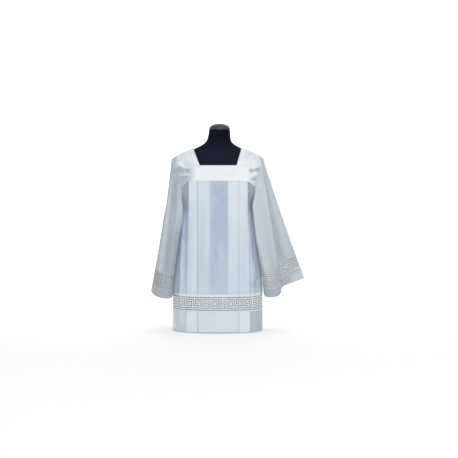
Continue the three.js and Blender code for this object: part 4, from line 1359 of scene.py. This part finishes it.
def build_yoke(label, face):
    node = f"yoke_{label}"
    grid, keep, relief = yoke_grid(face)
    cover = yoke_cover(grid, face, relief)
    yoke = cloth_shell(f"{node}_cloth", grid, DOUBLED, keep=keep, cover=cover)
    finish_piece(yoke, YOKE_CLOTH, "doubled_cloth", node)
    normals = outward_normals(grid)
    cells = len(grid) - 1
    left, right = YOKE_STRAP_COLUMNS, cells - YOKE_STRAP_COLUMNS
    corner = NECK_ROW * YOKE_FINE
    route = [(left, r) for r in range(corner)]
    route += [(c, corner) for c in range(left, right + 1)]
    route += [(right, r) for r in range(corner - 1, -1, -1)]
    line = np.array([grid[c, r] for c, r in route])
    out = np.array([normals[c, r] for c, r in route])
    binding = tube(f"{node}_neck_binding", line, out, BINDING)
    finish_piece(binding, DOUBLED_CLOTH, "doubled_cloth", node)
    inset_route = [(shift_in(c, left, right), min(r + 1, corner + 2)) for c, r in route]
    inset = np.array([grid[c, r] for c, r in inset_route])
    inset_out = np.array([normals[c, r] for c, r in inset_route])
    neck_sewn = sew(f"{node}_neck_stitch", inset + inset_out * STITCH_OUT, inset_out, node)
    seams = []
    for side, columns in (("left", slice(1, left)), ("right", slice(right + 1, cells))):
        seam_out = normals[columns, corner]
        seam = grid[columns, corner] + seam_out * 0.35
        cord = tube(f"{node}_seam_{side}", seam, seam_out, CORD)
        finish_piece(cord, DOUBLED_CLOTH, "doubled_cloth", node)
        below = grid[columns, corner + 1] + seam_out * STITCH_OUT
        seams += [cord, sew(f"{node}_seam_stitch_{side}", below, seam_out, node)]
    low_line = lerp(grid[:, -1], grid[:, -3], 0.35) + normals[:, -1] * STITCH_OUT
    low_sewn = sew(f"{node}_low_stitch", low_line, normals[:, -1], node)
    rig.sheet(
        yoke,
        held="draped",
        rests_on=["form_torso"],
        with_pieces=[binding, neck_sewn, low_sewn, *seams],
        **cut_of(grid, keep),
    )


def shift_in(column, left, right):
    """A column a little further from the neckline's open middle."""
    if column <= left:
        return column - 1
    if column >= right:
        return column + 1
    return column


def tube(name, path, ups, radius, sides=8):
    """A round cord or binding along a path, closed at both ends."""
    along = np.gradient(path, axis=0)
    along /= np.linalg.norm(along, axis=1, keepdims=True)
    side = np.cross(ups, along)
    side /= np.linalg.norm(side, axis=1, keepdims=True)
    up = np.cross(along, side)
    angles = np.arange(sides) * 2 * math.pi / sides
    ring = side[:, None] * np.cos(angles)[:, None] + up[:, None] * np.sin(angles)[:, None]
    points = (path[:, None] + ring * radius).reshape(-1, 3)
    faces = ring_faces(len(path), sides)
    last = (len(path) - 1) * sides
    for s in range(1, sides - 2, 2):
        faces.append((s + 2, s + 1, s, 0))
    for s in range(1, sides - 2, 2):
        faces.append((last, last + s, last + s + 1, last + s + 2))
    return make_mesh(name, points, faces)


def inner_band(grid, label):
    """Share of the band of a sleeve that lies beside the body, for painted shade and painted light."""
    centre = np.interp(grid[..., 2], SLEEVE_BAND["z"], SLEEVE_BAND[label])
    near = hump(np.abs(grid[..., 0]) - centre, BAND_HALF)
    return near * smooth((BAND_TOP_Z - grid[..., 2]) / 80)


def no_spread(z):
    return 0


def build_sleeve(label, side, table):
    spread = left_spread if side < 0 else no_spread
    lines = sleeve_lines(table, SLEEVE_COLUMNS, SWAG[label], spread, SHOULDER[label])
    creases = SLEEVE_CREASES[label]
    top_gap = CUFF + LACE_SLEEVE
    steps = np.concatenate([np.linspace(0, 0.08, 12)[:-1], np.linspace(0.08, 1, 64)])

    def all_steps(line):
        return steps * above(line, top_gap + SLEEVE_SEAM)

    def rows_at(distances):
        """The sleeve's rings at distances from its lower edge."""
        return sleeve_grid(lines, side, creases, lambda line: [above(line, d) for d in distances])

    grid = sleeve_grid(lines, side, creases, all_steps)
    flat_grid = sleeve_grid(lines, side, [], all_steps)
    relief = (side * (grid - flat_grid)[..., 0]) + np.abs(grid[..., 1]) - np.abs(flat_grid[..., 1])
    # Painted shade on the left sleeve and in its band beside the body, painted light in the right one's band, and
    # painted light and shade from the folds; darker towards the bottom.
    cover = SLEEVE_COVER[label] - 0.3 * smooth((620 - grid[..., 2]) / 350)
    cover += SLEEVE_INNER[label] * inner_band(grid, label) + 0.75 * FOLD_SHADE * relief
    sleeve = cloth_shell(f"sleeve_{label}_cloth", grid, CLOTH, closed=True, cover=cover)
    finish_piece(sleeve, SLEEVE_CLOTH, "batiste", f"sleeve_{label}")
    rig.sheet(sleeve, held="hung", rests_on=["yoke_front"], **cut_of(joined_round(grid)))

    band = rows_at((CUFF, top_gap))
    around = joined_round(band)
    total = run_lengths(around)[-1]
    pitch = total / (round(total / KEY_PITCH / KEY_PERIOD) * KEY_PERIOD)
    half = SLEEVE_COLUMNS // 2
    for part, piece_grid in (("front", band[: half + 1]), ("back", around[half:])):
        node = f"sleeve_lace_{label}_{part}"
        # Painted shade on the left sleeve's lace.
        cover_row = np.full(len(piece_grid), LACE_COVER[label])
        lace, bars = lace_band(f"{node}_band", piece_grid, cover_row, 0, pitch, LACE_SLEEVE, 0.4)
        finish_piece(lace, SLEEVE_LACE_CLOTH, "key_lace", node)
        finish_piece(bars, THREAD_GREY, "key_lace", node)
        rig.sheet(
            lace,
            flat=(run_lengths(piece_grid)[-1] * MM, LACE_SLEEVE * MM * 1.02),
            held="hung",
            rests_on=[f"sleeve_{label}"],
            area=area_of(lace),
            with_pieces=[bars],
        )

    node = f"cuff_{label}"
    trims = []
    for place, distance in (("high", top_gap), ("low", CUFF)):
        ring = rows_at((distance - TAPE_HALF, distance, distance + TAPE_HALF))
        out = grid_normals(ring, closed=True)
        out = out * np.sign(((ring - ring.reshape(-1, 3).mean(axis=0)) * out).sum())
        tape_cover = np.full(ring.shape[:2], CUFF_TAPE_COVER)
        tape = cloth_shell(
            f"sleeve_{label}_tape_{place}", ring + out * TAPE_LIFT, TAPE_THICK, True, cover=tape_cover
        )
        finish_piece(tape, CUFF_CLOTH, "doubled_cloth", node)
        outs = joined_round(out)[:, 1]
        path = joined_round(ring)[:, 1] + outs
        trims += [tape, sew(f"sleeve_{label}_stitch_{place}", path, outs, node)]

    cuff_grid = rows_at(np.linspace(SEAM, CUFF - SEAM, 10))
    # Painted light on the part of the cuff that flares out.
    cover = CUFF_COVER + FLARE_COVER * smooth((cuff_grid[..., 0] - FLARE_X) / 50)
    cuff = cloth_shell(f"{node}_cloth", cuff_grid, DOUBLED, closed=True, cover=cover)
    finish_piece(cuff, CUFF_CLOTH, "doubled_cloth", node)
    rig.sheet(
        cuff,
        held="hung",
        rests_on=[f"sleeve_lace_{label}_front", f"sleeve_lace_{label}_back"],
        with_pieces=trims,
        **cut_of(joined_round(cuff_grid)),
    )


# ---- dress form ----------------------------------------------------------------------------
def build_form():
    wide, deep, power = (table_curve(TORSO["z"], TORSO[key]) for key in ("wide", "deep", "power"))
    sides = 128
    angles = np.arange(sides) * 2 * math.pi / sides
    stretches = ((300, 312, 5), (312, 850, 60), (850, 1038, 76))
    heights = [z for low, high, count in stretches for z in np.linspace(low, high, count)[:-1]]
    heights.append(stretches[-1][1])

    def rounded(value, p):
        return np.sign(value) * np.abs(value) ** (2 / p)

    points = []
    for z in heights:
        lean = NECK_LEAN * float(smooth((z - NECK_FOOT_Z) / (TORSO["z"][-1] - NECK_FOOT_Z)))
        x = lean + wide(z) * rounded(np.cos(angles), power(z))
        y = deep(z) * rounded(np.sin(angles), power(z))
        points.append(np.stack([x, y, np.full(sides, z)], axis=-1))
    points.append([(0, 0, heights[0]), (NECK_LEAN, 0, heights[-1])])
    faces = ring_faces(len(heights), sides)
    top = (len(heights) - 1) * sides
    low_middle, high_middle = top + sides, top + sides + 1
    for s in range(sides):
        after = (s + 1) % sides
        faces.append((low_middle, after, s))
        faces.append((high_middle, top + s, top + after))
    torso = make_mesh("form_torso_cover", np.concatenate(points), faces)
    finish_piece(torso, JERSEY, "navy_jersey", "form_torso")

    profile = [(53.4, 0), (CAP_RADIUS, 1.2), (CAP_RADIUS, 3.4)]
    for angle in range(4, 90, 5):
        turn = math.radians(angle)
        profile.append((CAP_RADIUS * math.cos(turn), CAP_BAND + CAP_DOME * math.sin(turn)))
    cap = turned("form_neck_cap_dome", profile, 96, NECK_LEAN, CAP_Z, CAP_BAND + CAP_DOME)
    finish_piece(cap, CAP, "grey_cap", "form_neck_cap")
    for name in ("form_pole", "form_base"):
        node = frame["nodes"][name]
        node.data.materials.clear()
        node.data.materials.append(STEEL)


def turned(name, profile, sides, middle, base, top):
    """A solid turned about the vertical axis, from its lowest middle to its highest."""
    points = [(middle, 0, base)]
    for radius, height in profile:
        for s in range(sides):
            angle = 2 * math.pi * s / sides
            x, y = radius * math.cos(angle), radius * math.sin(angle)
            points.append((middle + x, y, base + height))
    points.append((middle, 0, base + top))

    def at(ring, s):
        return 1 + ring * sides + s % sides

    faces = []
    last = len(profile) - 1
    for s in range(sides):
        faces.append((0, at(0, s + 1), at(0, s)))
        faces.append((len(points) - 1, at(last, s), at(last, s + 1)))
        for ring in range(last):
            faces.append((at(ring, s), at(ring, s + 1), at(ring + 1, s + 1), at(ring + 1, s)))
    return make_mesh(name, points, faces)


# ---- studio --------------------------------------------------------------------------------
CAMERA_PLACE = (0.055, -5.0, 0.861)
CAMERA_AIM = (0.055, 0.0, 0.5244)


def build_studio():
    floor_depth, wall_at, bend, height = 9.0, 5.0, 1.2, 7.0
    profile = [(-floor_depth, 0.0)]
    for k in range(13):
        angle = math.pi / 2 * k / 12
        profile.append((wall_at - bend + bend * math.sin(angle), bend - bend * math.cos(angle)))
    profile.append((wall_at, height))
    points = [(x, y, z) for y, z in profile for x in (-9.0, 9.0)]
    faces = [(2 * k, 2 * k + 1, 2 * k + 3, 2 * k + 2) for k in range(len(profile) - 1)]
    mesh = bpy.data.meshes.new("studio_floor")
    mesh.from_pydata(points, [], faces)
    mesh.polygons.foreach_set("use_smooth", np.ones(len(faces), dtype=bool))
    floor = bpy.data.objects.new("studio_floor", mesh)
    bpy.context.scene.collection.objects.link(floor)
    graph = Graph("pale_floor")
    graph.set(Base_Color=(0.93, 0.93, 0.93), Roughness=0.9)
    graph.set(Emission_Color=(1.0, 1.0, 1.0), Emission_Strength=0.25)
    mesh.materials.append(graph.material)
    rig.stage(floor)

    world = bpy.data.worlds.new("soft_room")
    bpy.context.scene.world = world
    world.use_nodes = True
    sky = world.node_tree.nodes["Background"]
    sky.inputs["Color"].default_value = (1.0, 0.995, 0.985, 1)
    sky.inputs["Strength"].default_value = 0.36
    garment, wall = (0, 0, 0.55), (0, wall_at, 1.2)
    for name, place, aim, size, power in (
        ("key_light", (1.4, -4.2, 2.5), garment, 2.6, 44),
        ("front_light", (0.3, -5.4, 1.2), garment, 1.6, 20),
        ("fill_light", (-3.2, -3.4, 1.8), garment, 2.8, 12),
        ("top_light", (0.2, -0.4, 4.4), garment, 3.4, 43),
        ("wall_light", (0, 1.8, 3.4), wall, 3.0, 130),
    ):
        light = bpy.data.lights.new(name, "AREA")
        light.size = size
        light.energy = power
        holder = bpy.data.objects.new(name, light)
        holder.location = place
        towards = Vector(aim) - Vector(place)
        holder.rotation_euler = towards.to_track_quat("-Z", "Y").to_euler()
        bpy.context.scene.collection.objects.link(holder)

    view = bpy.data.cameras.new("camera")
    view.lens = 75.6
    view.sensor_width = 36
    view.clip_end = 100
    camera = bpy.data.objects.new("camera", view)
    camera.location = CAMERA_PLACE
    towards = Vector(CAMERA_AIM) - Vector(CAMERA_PLACE)
    camera.rotation_euler = towards.to_track_quat("-Z", "Y").to_euler()
    bpy.context.scene.collection.objects.link(camera)
    bpy.context.scene.camera = camera
    bpy.context.scene.view_settings.view_transform = "Standard"


build_studio()
build_form()
for label, face in (("front", FRONT), ("back", BACK)):
    build_yoke(label, face)
    build_skirt(label, face)
build_sleeve("right", 1, CUFF_RIGHT)
build_sleeve("left", -1, CUFF_LEFT)

with open("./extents.json", "w") as out:
    json.dump({"cad": [list(v) for v in cad_box], "visual": [list(v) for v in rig.bounds()]}, out)
